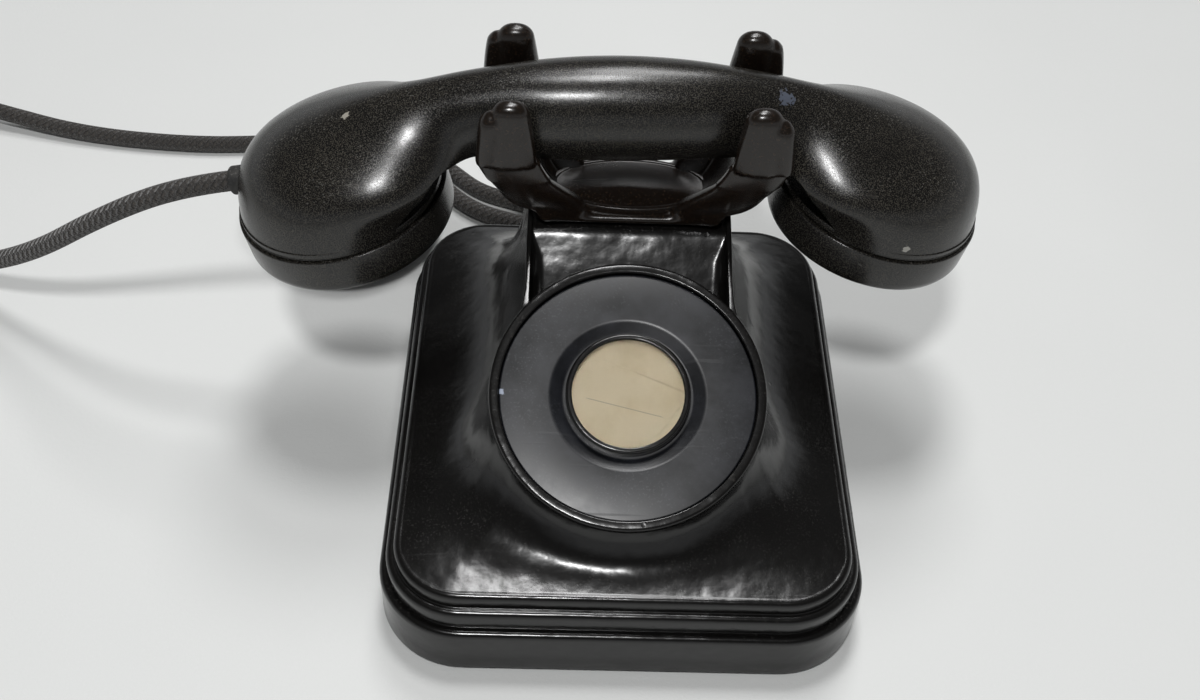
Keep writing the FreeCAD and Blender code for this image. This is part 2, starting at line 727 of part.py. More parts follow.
gong_radius = 20.0
gong_x = 24.6
gong_y = -43.0
gong_mouth_z = 14.0
gong_top_z = 27.0
gong_wall = 1.2
ringer_pivot_y = -12.0
clapper_z = 19.0
clapper_radius = 2.0
coil_x = 14.0
coil_radius = 8.5
coil_z = 19.0
coil_front_y = -7.0
coil_back_y = 15.0
armature_half_x = 19.0
armature_half_y = 2.0


def gong_places():
    return [Vector(side * gong_x, gong_y, 0) for side in (-1, 1)]


def gongs():
    outer = [(gong_radius, gong_mouth_z), (gong_radius - 0.6, gong_mouth_z + 5), (gong_radius - 3, gong_mouth_z + 9.5),
             (gong_radius - 8, gong_top_z - 1), (gong_radius - 12, gong_top_z), (2.2, gong_top_z)]
    inner = [(radius - gong_wall, z - (gong_wall if z > gong_mouth_z + 7 else 0)) for radius, z in outer[:-1]]
    profile = outer + [(2.2, gong_top_z - gong_wall)] + inner[::-1]
    return Part.makeCompound([turned(profile, place) for place in gong_places()])


def gong_posts():
    profile = [(0, plate_top_z), (5.0, plate_top_z), (3.5, plate_top_z + 3), (3.5, gong_top_z - gong_wall),
               (2.15, gong_top_z - gong_wall), (2.15, gong_top_z), (1.2, gong_top_z), (1.2, gong_top_z - 8), (0, gong_top_z - 8)]
    return Part.makeCompound([turned(profile, place) for place in gong_places()])


def gong_screws():
    return Part.makeCompound([screw(place + gong_top_z * Z_AXIS, -Z_AXIS, 1.15, 6.0, 3.4, 1.6)
                              for place in gong_places()])


def ringer_frame():
    sheet = 1.4
    foot = box_from(-23.0, 23.0, ringer_pivot_y - 4, coil_back_y + sheet, plate_top_z, plate_top_z + sheet)
    back = box_from(-23.0, 23.0, coil_back_y, coil_back_y + sheet, plate_top_z, coil_z + 10)
    frame = foot.fuse(back)
    lug = [(ringer_pivot_y - 3.0, plate_top_z), (ringer_pivot_y + 4.0, plate_top_z), (ringer_pivot_y + 4.0, 27.0),
           (ringer_pivot_y - 3.0, 27.0)]
    window = box_from(-10, 10, ringer_pivot_y - 10, ringer_pivot_y + 2.4, coil_z - 3.4, coil_z + 3.4)
    frame = frame.fuse(extruded_x(lug, 3.0).cut(window))
    frame = frame.cut(cylinder(1.0, 30, Vector(0, ringer_pivot_y, plate_top_z + 4)))
    return frame


def ringer_magnet():
    return box_from(-3.0, 3.0, ringer_pivot_y + 4.0, coil_back_y, coil_z - 4.0, coil_z + 4.0)


def ringer_coils():
    """Two wound bobbins on iron cores."""
    coils = []
    length = coil_back_y - coil_front_y
    for side in (-1, 1):
        profile = [(0, 0), (3.0, 0), (3.0, 1.0), (coil_radius + 1, 1.0), (coil_radius + 1, 2.2), (coil_radius, 2.2),
                   (coil_radius, length - 1.2), (coil_radius + 1, length - 1.2), (coil_radius + 1, length), (0, length)]
        coils.append(turned(profile, Vector(side * coil_x, coil_front_y, coil_z), Y_AXIS))
    return Part.makeCompound(coils)


def ringer_pivot_pin():
    return cylinder(0.98, 22.0, Vector(0, ringer_pivot_y, plate_top_z + 4))


def ringer_armature():
    """Rocking bar before the coils; it pivots on the pin and carries the clapper's rod."""
    bar = box_from(-armature_half_x, armature_half_x, ringer_pivot_y - armature_half_y,
                   ringer_pivot_y + armature_half_y, coil_z - 3.0, coil_z + 3.0)
    return bar.cut(cylinder(1.05, 20, Vector(0, ringer_pivot_y, coil_z - 10)))


def clapper():
    start_y = ringer_pivot_y - armature_half_y
    rod = cylinder(0.8, start_y - gong_y - 1, Vector(0, start_y, clapper_z), -Y_AXIS)
    ball = Part.makeSphere(clapper_radius, Vector(0, gong_y, clapper_z))
    return rod.fuse(ball)


# Electrical pieces on the base plate

def induction_coil():
    centre = Vector(44.0, 0.5, plate_top_z + 10.5)
    length = 34.0
    winding = cylinder(8.2, length, centre, Y_AXIS)
    core = cylinder(3.2, length + 5, centre - 2.5 * Y_AXIS, Y_AXIS)
    bobbin = winding.fuse(core)
    for y in (centre.y, centre.y + length - 2.0):
        bobbin = bobbin.fuse(box_from(centre.x - 10, centre.x + 10, y, y + 2.0, plate_top_z, plate_top_z + 20))
    return bobbin


condenser_x = -44.0
condenser_y = 14.0
condenser_width = 20.0
condenser_length = 36.0
condenser_height = 17.0


def condenser():
    levels = (plate_top_z, plate_top_z + condenser_height)
    outlines = [rounded_rect(condenser_width / 2, condenser_length / 2, 2.5, z, condenser_y) for z in levels]
    can = Part.makeLoft(outlines, True, True)
    can.translate(Vector(condenser_x, 0, 0))
    return can


def condenser_strap():
    sheet = 0.8
    half = condenser_width / 2
    top = plate_top_z + condenser_height
    outline = [(-half - 7, plate_top_z), (-half, plate_top_z), (-half, top), (half, top), (half, plate_top_z),
               (half + 7, plate_top_z), (half + 7, plate_top_z + sheet), (half + sheet, plate_top_z + sheet),
               (half + sheet, top + sheet), (-half - sheet, top + sheet), (-half - sheet, plate_top_z + sheet),
               (-half - 7, plate_top_z + sheet)]
    return extruded_y([(condenser_x + x, z) for x, z in outline], 4.0, condenser_y)


terminal_y = plinth_depth / 2 - 25.0
terminal_xs = [-25.0 + 10.0 * index for index in range(6)]
terminal_top_z = plate_top_z + 7.0


def terminal_strip():
    block = box_from(-31.0, 31.0, terminal_y - 6, terminal_y + 6, plate_top_z, terminal_top_z)
    for x in terminal_xs[:-1]:
        block = block.fuse(box_from(x + 4.4, x + 5.6, terminal_y - 6, terminal_y + 6, terminal_top_z, terminal_top_z + 2.5))
    for x in terminal_xs:
        block = block.cut(cylinder(1.3, 6, Vector(x, terminal_y, terminal_top_z - 5)))
    return block


def terminal_screws():
    return Part.makeCompound([screw(Vector(x, terminal_y, terminal_top_z), -Z_AXIS, 1.25, 4.5, 2.8, 1.8)
                              for x in terminal_xs])


def cord_grommets():
    """Rubber bush in each cord hole at the back."""
    outer_y = plinth_depth / 2
    profile = [(cord_radius + 0.1, -wall - 1.5), (grommet_neck_radius + 1.2, -wall - 1.5),
               (grommet_neck_radius + 1.2, -wall), (grommet_neck_radius, -wall), (grommet_neck_radius, 0),
               (grommet_neck_radius + 1.6, 0), (grommet_neck_radius + 1.0, 1.8), (cord_radius + 0.1, 1.8)]
    return Part.makeCompound([turned(profile, Vector(x, outer_y, cord_exit_z), Y_AXIS)
                              for x in (handset_cord_exit_x, line_cord_exit_x)])


# Handset: drawn about its own middle, u along the handle and v across it, then laid askew

head_slope = math.radians(head_tilt)
fan_z = joint_z + (head_spacing - neck_x) * math.tan(head_slope)
fan = Vector(neck_x, 0, fan_z)              # the sections of each head turn about this line
head_centre = Vector(head_spacing, 0, joint_z)
head_axis = Vector(math.sin(head_slope), 0, math.cos(head_slope))
joint_outer = head_centre + head_radius * Vector(math.cos(head_slope), 0, -math.sin(head_slope))
arch_centre = Vector(0, 0, handle_top_z - handle_arch_radius)


def shoulder_arc():
    """Centre and radius of the arc that meets the arch smoothly and ends square to the joint."""
    along = Vector(math.cos(head_slope), 0, -math.sin(head_slope))
    offset = joint_outer - arch_centre
    radius = (handle_arch_radius ** 2 - offset.dot(offset)) / (2 * (handle_arch_radius - offset.dot(along)))
    return joint_outer - radius * along, radius


def ray_to_circle(start, direction, centre, radius):
    offset = start - centre
    half_b = offset.dot(direction)
    return -half_b + math.sqrt(half_b ** 2 - offset.dot(offset) + radius ** 2)


def back_distance(angle):
    """From the fan's line to the handset's back, in the direction of an angle."""
    direction = Vector(math.cos(angle), 0, math.sin(angle))
    centre, radius = shoulder_arc()
    meeting = arch_centre + handle_arch_radius * (centre - arch_centre).normalize() - fan
    if angle < math.atan2(meeting.z, meeting.x):
        return ray_to_circle(fan, direction, centre, radius)
    return ray_to_circle(fan, direction, arch_centre, handle_arch_radius)


def head_section(degrees, inner, half_depth, side):
    """Oval in the plane that a fan angle and the v direction span, on one side of the handset."""
    angle = math.radians(degrees)
    direction = Vector(math.cos(angle), 0, math.sin(angle))
    outer = back_distance(angle)
    middle = fan + (outer + inner) / 2 * direction
    half = (outer - inner) / 2
    points = [middle + half * math.cos(turn) * direction + half_depth * math.sin(turn) * Y_AXIS
              for turn in loop_turns()]
    return [Vector(side * point.x, point.y, point.z) for point in points]


def loop_turns(count=24):
    return [2 * math.pi * step / count for step in range(count)]


def handle_section(u):
    top = arch_centre.z + math.sqrt(handle_arch_radius ** 2 - u * u)
    middle_z = (top + handle_bottom_z) / 2
    half_z = (top - handle_bottom_z) / 2
    share = (u / neck_x) ** 2
    half_depth = grip_half_depth + (neck_half_depth - grip_half_depth) * share
    return [Vector(u, half_depth * math.sin(turn), middle_z + half_z * math.cos(turn)) for turn in loop_turns()]


# Fan angle, inner radius and half depth of each section of a head, from the joint to the neck
head_course = ((-head_tilt, 15.3, head_radius), (0.0, 14.4, 31.8), (18.0, 12.6, 27.4), (38.0, 10.4, 17.8),
               (56.0, 8.4, 12.6), (73.0, 6.6, 12.1))


def hand_gap():
    """Room for the hand, drawn in front view: flat above, with slanted sides and rounded corners."""
    low_z = 60.0
    foot_z = joint_z + 6.0
    slope = (gap_foot_x - gap_top_x) / (underside_z - foot_z)
    low_x = gap_foot_x + 2.0
    corners = [(gap_top_x + gap_round / 2, underside_z), (gap_foot_x, foot_z), (low_x, low_z)]
    outline = [(-x, z) for x, z in corners][::-1] + corners
    prism = extruded_y(outline, 60.0, 0.0)
    upper = [edge for edge in prism.Edges
             if all(abs(vertex.Z - underside_z) < 1e-6 for vertex in edge.Vertexes)
             and abs(edge.Vertexes[0].X - edge.Vertexes[1].X) < 1e-6]
    return prism.makeFillet(gap_round, upper)


def laid_askew(shape):
    """From the handset's own place to its place in the cradle."""
    shape.rotate(Vector(), Z_AXIS, handset_yaw)
    shape.translate(Vector(handset_x, cradle_y + handset_x * math.tan(math.radians(handset_yaw)), 0))
    return shape


def head_ends():
    """Centre of each joint and the direction from it up into the head."""
    return [(Vector(side * head_spacing, 0, joint_z), Vector(side * head_axis.x, 0, head_axis.z))
            for side in (-1, 1)]


cord_port_rise = 8.0
cord_port_radius = 4.6
cord_port_turn = math.radians(3.5)


def cord_port():
    """Start and direction of the cord's hole, outwards through the end of the left head."""
    outward = math.cos(cord_port_turn) * Vector(-math.cos(head_slope), 0, -math.sin(head_slope))
    outward += math.sin(cord_port_turn) * Y_AXIS
    return Vector(-head_spacing, 0, joint_z) + cord_port_rise * Vector(-head_axis.x, 0, head_axis.z), outward


def handset_body():
    left, right = [[head_section(*course, side) for course in head_course] for side in (-1, 1)]
    handle = [handle_section(u) for u in (-neck_x, -22.0, 0.0, 22.0, neck_x)]
    body = skinned_solid(left + handle + right[::-1]).cut(hand_gap())
    for centre, up in head_ends():
        flange = turned([(0, 0), (head_radius - 0.4, 0), (head_radius, 0.4), (head_radius, flange_height - 0.3),
                         (head_radius - 0.3, flange_height), (0, flange_height)], centre, up)
        spigot = tube(spigot_radius, spigot_bore, spigot_height + 0.5, centre - spigot_height * up, up)
        body = body.fuse(flange).fuse(spigot)
        body = body.cut(cylinder(pocket_radius, pocket_depth + 1, centre - up, up))
    start, outward = cord_port()
    body = body.cut(cylinder(cord_port_radius, 40, start + (pocket_radius - 6) * outward, outward))
    return laid_askew(body)


def capsule(centre, up):
    back = capsule_back_height
    height = capsule_height
    profile = [(0, 0), (capsule_radius, 0), (capsule_radius, height - 1.5), (capsule_radius - 1.0, height),
               (capsule_back_radius, height), (capsule_back_radius - 1, height + back), (0, height + back)]
    return turned(profile, centre - (cap_height - cap_face) * up, up)


def receiver_capsule():
    return laid_askew(capsule(*head_ends()[1]))


def transmitter_capsule():
    return laid_askew(capsule(*head_ends()[0]))


def cap(centre, up, rows, dish):
    """Screwed cap: a cup round the spigot, its face dished and pierced in rings of holes."""
    bore = spigot_radius + 0.05
    seat = capsule_radius + 0.6
    profile = [(0, dish), (20.0, dish), (24.0, 0.0), (cap_radius - 2.4, 0.0), (cap_radius - 0.6, 1.4),
               (cap_radius, 3.2), (cap_radius, cap_height - joint_groove - 1.2),
               (cap_radius - 0.5, cap_height - joint_groove), (bore, cap_height - joint_groove),
               (bore, cap_height - spigot_height - 0.3), (seat, cap_height - spigot_height - 0.3),
               (seat, cap_face), (0, cap_face)]
    shell = turned(profile, centre - cap_height * up, up)
    across = Vector(up.z, 0, -up.x)
    for count, radius in rows:
        for step in range(count):
            angle = 2 * math.pi * step / count
            place = centre - (cap_height + 1) * up + radius * (math.cos(angle) * across + math.sin(angle) * Y_AXIS)
            shell = shell.cut(cylinder(1.3, cap_face + 2, place, up))
    return shell


def ear_cap():
    return laid_askew(cap(*head_ends()[1], ((1, 0.0), (6, 6.0)), 1.4))


def mouth_cap():
    return laid_askew(cap(*head_ends()[0], ((1, 0.0), (6, 6.0), (12, 12.0)), 0.8))


def capsule_leaves():
    """Two sprung strips behind each capsule, from its back to the roof of its pocket."""
    leaves = []
    low = capsule_height + capsule_back_height - (cap_height - cap_face)
    for centre, up in head_ends():
        across = Vector(up.z, 0, -up.x)
        for offset in (-5.0, 5.0):
            leaf = Part.makeBox(1.0, 6.0, pocket_depth - low, Vector(-0.5, -3.0, 0))
            leaf.Placement = FreeCAD.Placement(centre + low * up + offset * across, FreeCAD.Rotation(Z_AXIS, up))
            leaves.append(leaf)
    return laid_askew(Part.makeCompound(leaves))


port_rim = 30.5                          # from the port's start to the head's end wall
bush_reach = 2.6


def handset_cord_bush():
    """Rubber sleeve moulded on the cord where it enters the left head."""
    start, outward = cord_port()
    profile = [(0, port_rim - 14), (cord_port_radius - 0.05, port_rim - 14), (cord_port_radius - 0.05, port_rim + 2.0),
               (cord_port_radius - 0.5, port_rim + bush_reach), (0, port_rim + bush_reach)]
    return laid_askew(turned(profile, start, outward))


# Cords

def rounded_route(corners):
    """Closely set points along straight runs joined by tangent arcs."""
    route = [corners[0]]
    for before, corner, after in zip(corners, corners[1:], corners[2:]):
        into = (corner - before)
        out = (after - corner)
        reach = 0.45 * min(into.Length, out.Length)
        into, out = into.normalize(), out.normalize()
        half_turn = into.getAngle(out) / 2
        if half_turn < 0.01:
            route.append(corner)
            continue
        radius = reach / math.tan(half_turn)
        normal = (out - into * out.dot(into)).normalize()
        centre = corner - reach * into + radius * normal
        steps = max(2, round(math.degrees(2 * half_turn) / 9))
        for step in range(steps + 1):
            turned_by = 2 * half_turn * step / steps
            route.append(centre - radius * math.cos(turned_by) * normal + radius * math.sin(turned_by) * into)
    return route + [corners[-1]]


def coil_route(place, outer_radius, turns, way):
    """Coil of two layers that starts towards -X: inwards on the table, up, and outwards again on top."""
    turn_steps = 24
    climb = turn_steps / 2
    last = round(turns * turn_steps)
    route = []
    for step in range(last + 1):
        rise = min(max(step - (last - climb) / 2, 0), climb) / climb
        radius = outer_radius - coil_step * min(step, last - step) / turn_steps
        angle = way * (math.pi / 2 + 2 * math.pi * step / turn_steps)
        route.append(Vector(place[0] + radius * math.cos(angle), place[1] + radius * math.sin(angle),
                            table_z + coil_step * rise * rise * (3 - 2 * rise)))
    lead = 2 * cord_radius
    last_lead = way * lead * Vector(-math.sin(angle), math.cos(angle), 0)
    return [route[0] + lead * X_AXIS] + route + [route[-1] + last_lead]


def cord(route):
    return faceted_tube(route, cord_radius, cord_sides)


def handset_cord_start():
    """Where the cord leaves its bush, and a point straight on from there."""
    start, outward = cord_port()
    return [laid_askew(Part.Vertex(start + (port_rim + reach) * outward)).Point for reach in (bush_reach, 20.0)]


def handset_cord_route():
    hang = [(-168, 40, 66), (-204, 52, 35), (-241, 70, 11), (-263, 82, 4.5)]
    coil_start = handset_cord_coil_route()[0]
    return rounded_route(handset_cord_start() + [Vector(*point) for point in hang]
                         + [coil_start + 14 * X_AXIS, coil_start])


def handset_cord_coil_route():
    return coil_route(handset_coil_place, handset_coil_radius, handset_coil_turns, clockwise)


def handset_cord_return_route():
    coil_end = handset_cord_coil_route()[-1]
    table = [(-254, 167, 6), (-218, 157.5, table_z), (-174, 153, table_z), (-140, 155.5, table_z),
             (-115, 160.5, table_z), (-95, 159, table_z), (-79, 152.5, table_z), (-67, 141.5, table_z),
             (-55, 129, table_z), (-40, 123.5, table_z), (-25, 118, 4), (handset_cord_exit_x - 2.5, 107.5, 7.2),
             (handset_cord_exit_x, 94, cord_exit_z), (handset_cord_exit_x, 79, cord_exit_z)]
    return rounded_route([coil_end, coil_end + 14 * X_AXIS] + [Vector(*point) for point in table])


def line_cord_route():
    coil_start = line_cord_coil_route()[0]
    table = [(line_cord_exit_x, 79, cord_exit_z), (line_cord_exit_x, 92.5, cord_exit_z),
             (line_cord_exit_x - 6, 104.8, 7.2), (-43, 111.5, 4.2), (-55.5, 117.5, table_z), (-66, 127, table_z),
             (-74, 138, table_z), (-85.5, coil_start.y, table_z)]
    return rounded_route([Vector(*point) for point in table] + [coil_start])


def line_cord_coil_route():
    """The coil, and the cord's end led back over it to the plug."""
    coil = coil_route(line_coil_place, line_coil_radius, line_coil_turns, counterclockwise)
    middle = Vector(*line_coil_place, table_z + coil_step)
    plug_rise = cord_radius + plug_radius + 0.2
    tail = [(-20.9, line_coil_radius, 0), (-32.6, 26.2, 2.5), (-37.0, 12.5, 6.0), (-32.6, -1.2, 9.5),
            (-20.9, -9.7, plug_rise), (-6.5, -9.7, plug_rise)]
    return coil[:-1] + rounded_route([coil[-1]] + [middle + Vector(*point) for point in tail])


def line_plug():
    """Round moulded plug with two contact pins, on the end of the line cord."""
    end = line_cord_coil_route()[-1]
    profile = [(0, 0), (cord_radius + 1.6, 0), (cord_radius + 2.2, 6), (plug_radius - 1.5, 10), (plug_radius, 12),
               (plug_radius, plug_length - 1.0), (plug_radius - 1.0, plug_length), (0, plug_length)]
    plug = turned(profile, end, X_AXIS)
    for side in (-1, 1):
        pin = cylinder(2.0, 15.0, end + (plug_length - 1) * X_AXIS + side * 4.5 * Y_AXIS, X_AXIS)
        plug = plug.fuse(pin)
    return plug


def route_length(route):
    return sum((after - before).Length for before, after in zip(route, route[1:]))


def least_bend(route):
    """Smallest radius of the circles through each three points in a row."""
    radii = []
    for before, point, after in zip(route, route[1:], route[2:]):
        twice_area = (point - before).cross(after - before).Length
        if twice_area > 1e-3:
            radii.append((point - before).Length * (after - point).Length * (after - before).Length / (2 * twice_area))
    return min(radii)


def least_gap(route):
    """Smallest space between two turns of a coil, measured from point to point."""
    apart = 6 * cord_radius
    places = [0.0]
    for before, after in zip(route, route[1:]):
        places.append(places[-1] + (after - before).Length)
    return min((route[i] - route[j]).Length for i in range(len(route)) for j in range(i)
               if places[i] - places[j] > apart) - 2 * cord_radius


def report_cord(name, route, solid):
    section = cord_sides * cord_radius ** 2 * math.sin(2 * math.pi / cord_sides) / 2
    length = route_length(route)
    print(name, "length", round(length), "least radius", round(least_bend(route), 1),
          "volume over section times length", round(solid.Volume / section / length, 3))
    if "coil" in name:
        print(name, "least gap between turns", round(least_gap(route), 2))


cord_routes = {"handset_cord": handset_cord_route, "handset_cord_coil": handset_cord_coil_route,
               "handset_cord_return": handset_cord_return_route, "line_cord": line_cord_route,
               "line_cord_coil": line_cord_coil_route}

makers = (housing, base_plate, rubber_feet, base_screws, dial_blank, clamp_screws, card_ring, number_card,
          card_window, cradle, cradle_stem, stem_bush, return_spring, switch_frame, switch_lever, lever_pin,
          contact_springs, contact_stack, gongs, gong_posts, gong_screws, ringer_frame, ringer_magnet,
          ringer_coils, ringer_pivot_pin, ringer_armature, clapper, induction_coil, condenser, condenser_strap,
          terminal_strip, terminal_screws, cord_grommets, handset_body, receiver_capsule, transmitter_capsule,
          capsule_leaves, ear_cap, mouth_cap, handset_cord_bush)


def main():
    parts = {make.__name__: make() for make in makers}
    rigid_box = FreeCAD.BoundBox()
    for shape in parts.values():
        rigid_box.add(shape.optimalBoundingBox(False))
    shift = Vector(-rigid_box.Center.x, -rigid_box.Center.y, 0)
    for name, route in cord_routes.items():
        parts[name] = cord(route())
        report_cord(name, route(), parts[name])
    parts["line_plug"] = line_plug()
    os.makedirs("parts", exist_ok=True)
    for name, shape in parts.items():
        shape.translate(shift)
        shape.exportStep("parts/" + name + ".step")
    print("all pieces moved by", round(shift.x, 3), round(shift.y, 3))


main()
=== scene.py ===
import math

import bmesh
import bpy
import numpy as np
from mathutils import Matrix, Vector


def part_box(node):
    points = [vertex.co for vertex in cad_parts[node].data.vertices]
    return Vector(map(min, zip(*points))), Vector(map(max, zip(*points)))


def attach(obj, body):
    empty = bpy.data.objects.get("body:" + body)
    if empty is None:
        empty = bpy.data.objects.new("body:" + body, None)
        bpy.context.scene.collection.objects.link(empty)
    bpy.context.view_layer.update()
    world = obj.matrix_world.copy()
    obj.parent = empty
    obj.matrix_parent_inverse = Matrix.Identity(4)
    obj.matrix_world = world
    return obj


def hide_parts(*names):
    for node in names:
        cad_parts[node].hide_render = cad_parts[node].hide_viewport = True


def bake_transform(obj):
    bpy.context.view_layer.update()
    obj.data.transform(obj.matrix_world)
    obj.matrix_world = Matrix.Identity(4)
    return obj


# Desk telephone of moulded black phenolic, with its handset in the cradle.
# Shapes are worked out in millimetres about the middle of the housing's foot, and placed()
# turns them into the frame's metres.

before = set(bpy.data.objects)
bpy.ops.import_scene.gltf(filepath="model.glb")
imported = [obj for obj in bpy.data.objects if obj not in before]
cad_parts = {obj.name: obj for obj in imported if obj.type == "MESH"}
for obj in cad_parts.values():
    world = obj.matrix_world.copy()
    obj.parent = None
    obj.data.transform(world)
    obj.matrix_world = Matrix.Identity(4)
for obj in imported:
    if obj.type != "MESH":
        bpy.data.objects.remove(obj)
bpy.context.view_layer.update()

foot_low, foot_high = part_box("housing")
foot_centre = np.array([(foot_low.x + foot_high.x) / 2, (foot_low.y + foot_high.y) / 2, 0.0])

# Housing
plinth_width = 146.0
plinth_depth = 170.0
plinth_corner = 26.0
foot_height = 2.0
plinth_top_z = 19.0
groove_height = 1.4
groove_inset = 3.2
band_height = 6.0
band_inset = 2.4
bead_height = 4.8
bead_inset = 5.0
brow_inset = 7.4
edge_round = 1.8
wall = 3.4
brow_z = plinth_top_z + groove_height + band_height + bead_height

# Dial seat
dial_y = -28.1
dial_z = 62.2
dial_tilt = math.radians(24.7)
collar_radius = 41.2
collar_proud = 0.8
collar_step = 1.0
collar_lip = 1.1
seat_radius = 38.3
seat_depth = 3.4
seat_ledge = 3.3
collar_root = 14.0

# Cheeks and shoulder
cheek_x = 31.6
cheek_wall = 1.5
crest_front_y = -3.5
peak_y = 33.0
peak_z = 84.5
turret_back_y = 62.0
turret_back_z = 64.0
turret_corner = 12.0
shoulder_z = 80.0
shoulder_front_y = 27.0
shoulder_round = 7.0
shoulder_slope = math.radians(41.5)
recess_fillet = 5.0
well_below_dial = 8.0
crest_rim = 0.9
corner_ease = 0.35
loop_steps = 8
flank_row_count = 45
floor_row_count = 71
# The housing's points lie on rays from a middle at this y; sky_z only steers how the flank ends
ray_y = -5.0
sky_z = 105.0
# The flank's stations, as shares of the way in and of the way up from brow to crest
flank_course = ((0.0, 0.0), (0.36, 0.09), (0.66, 0.25), (0.87, 0.52), (1.0, 1.0))

# Dial blank and card holder
blank_radius = seat_radius - 0.25
blank_thickness = 2.6
well_radius = 23.2
well_depth = 1.6
well_floor = -seat_depth + blank_thickness - well_depth
land_height = 1.8
holder_radius = 18.5
holder_height = 3.8
holder_lip = 0.6
card_radius = 17.2
card_thickness = 0.4
window_thickness = 0.8
card_cut_turn = math.radians(37.0)
card_cut_distance = 14.3
card_fold_turn = math.radians(21.6)
card_fold_up = 7.2
card_fold_drop = 0.15
card_cut_drop = 0.15
rule_turn = math.radians(13.1)
rule_up = -4.3
rule_half_length = 11.6
dot_spacing = 0.75

# Cradle
cradle_y = 39.2
horn_x = 36.4
horn_reach = 19.0
horn_tip_z = 130.5
lobe_drop = 3.2
lobe_x = 41.8
pad_z = 110.0
saddle_half_x = 43.4
saddle_half_y = 16.0
block_half_x = cheek_x - cheek_wall - 0.6
block_depth = 29.5
block_bottom_z = 81.0
block_top_z = 84.0
boss_length = 49.6
boss_depth = 25.0
boss_rise = 2.2
boss_rim = 1.6
boss_dome = 1.6

# Handset
handset_x = -5.4
handset_yaw = math.radians(2.4)
head_spacing = 84.7
head_slope = math.radians(11.7)
joint_z = 83.8
head_radius = 32.4
cap_radius = 33.4
cap_height = 13.2
cap_face = 3.2
cap_bore = 29.65
capsule_seat_radius = 27.0
cap_thread_height = 5.3
hole_radius = 1.3
ear_hole_rings = ((1, 0.0), (6, 6.0))
mouth_hole_rings = ((1, 0.0), (6, 6.0), (12, 12.0))
spigot_radius = 29.6
spigot_bore = 26.9
spigot_reach = 5.0
joint_groove = 0.5
flange_height = 2.2
handle_top_z = 131.0
handle_arch_radius = 217.0
handle_bottom_z = 99.0
grip_half_depth = 15.1
neck_half_depth = 12.1
neck_x = 38.0
underside_z = 104.4
gap_top_x = 50.0
gap_foot_x = 66.0
gap_round = 7.0
gap_flat_steps = 10
cord_port_turn = math.radians(3.5)
cord_port_up = 8.0
port_rim = 30.5
bush_reach = 2.6

# Cords
cord_radius = 3.25
coil_step = 2 * cord_radius + 0.45
table_z = cord_radius + 0.05
cord_exit_z = 9.6
handset_coil_place = (-300.0, 130.0)
handset_coil_radius = 42.0
handset_coil_turns = 3.5
line_coil_place = (-104.0, 110.0)
line_coil_radius = 34.7
line_coil_turns = 4.0
cord_touchdown = (-241, 71, 11)

# Camera, with its focal length in the photograph's pixels
camera_place = (-19.14, -304.80, 376.68)
camera_yaw = math.radians(2.1)
camera_pitch = math.radians(46.9)
camera_roll = math.radians(3.1)
focal_pixels = 1422.0
picture_width_pixels = 1200.0
sensor_width = 36.0


def placed(points):
    """Millimetres about the housing's foot to metres in the frame."""
    return np.asarray(points, float) / 1000 + foot_centre


# Curves through points

def spline(places, values, wanted):
    """Smooth values at the wanted places, through given values at their places."""
    places = np.asarray(places, float)
    values = np.asarray(values, float)
    wanted = np.asarray(wanted, float)
    count = len(places)
    flat = values.reshape(count, -1)
    step = np.diff(places)
    matrix = np.eye(count)
    right = np.zeros_like(flat)
    for index in range(1, count - 1):
        matrix[index, index - 1:index + 2] = step[index - 1], 2 * (step[index - 1] + step[index]), step[index]
        ahead = (flat[index + 1] - flat[index]) / step[index]
        behind = (flat[index] - flat[index - 1]) / step[index - 1]
        right[index] = 6 * (ahead - behind)
    bend = np.linalg.solve(matrix, right)
    span = np.clip(np.searchsorted(places, wanted, side="right") - 1, 0, count - 2)
    width = step[span][:, None]
    near = (places[span + 1] - wanted)[:, None] / width
    far = 1 - near
    result = near * flat[span] + far * flat[span + 1]
    result += ((near ** 3 - near) * bend[span] + (far ** 3 - far) * bend[span + 1]) * width ** 2 / 6
    return result.reshape(len(wanted), *values.shape[1:])


def smooth_loop(points, per_step):
    """Closed curve through points, with so many places to each step between them."""
    points = np.asarray(points, float)
    count = len(points)
    margin = 8
    around = np.arange(-margin, count + margin)
    return spline(around, points[around % count], np.arange(count * per_step) / per_step)


def eased(rows, reaches, steps=4):
    """Rows of points, in which each row with a reach gives way to a small curve round its corner."""
    result = [rows[0]]
    for before, row, after, reach in zip(rows, rows[1:], rows[2:], reaches[1:]):
        if not reach:
            result.append(row)
            continue
        back, ahead = before - row, after - row
        back_length = np.maximum(np.linalg.norm(back, axis=-1, keepdims=True), 1e-9)
        ahead_length = np.maximum(np.linalg.norm(ahead, axis=-1, keepdims=True), 1e-9)
        near = np.minimum(reach, 0.45 * np.minimum(back_length, ahead_length))
        start, end = row + back / back_length * near, row + ahead / ahead_length * near
        for share in np.linspace(0, 1, steps + 1):
            result.append((1 - share) ** 2 * start + 2 * share * (1 - share) * row + share ** 2 * end)
    return result + [rows[-1]]


# Surfaces: each shape is its points and its four-sided faces

def sheet_through(rows):
    """Surface through closed rows of equally many points."""
    rows = np.asarray(rows, float)
    count, width = rows.shape[:2]
    index = np.arange(count * width).reshape(count, width)
    index = np.concatenate([index, index[:, :1]], axis=1)
    quads = np.stack([index[:-1, :-1], index[:-1, 1:], index[1:, 1:], index[1:, :-1]], axis=-1)
    return rows.reshape(-1, 3), quads.reshape(-1, 4)


def joined(*shapes):
    """Several shapes as one."""
    points, faces, offset = [], [], 0
    for shape_points, shape_faces in shapes:
        points.append(shape_points)
        faces.append(shape_faces + offset)
        offset += len(shape_points)
    return np.concatenate(points), np.concatenate(faces)


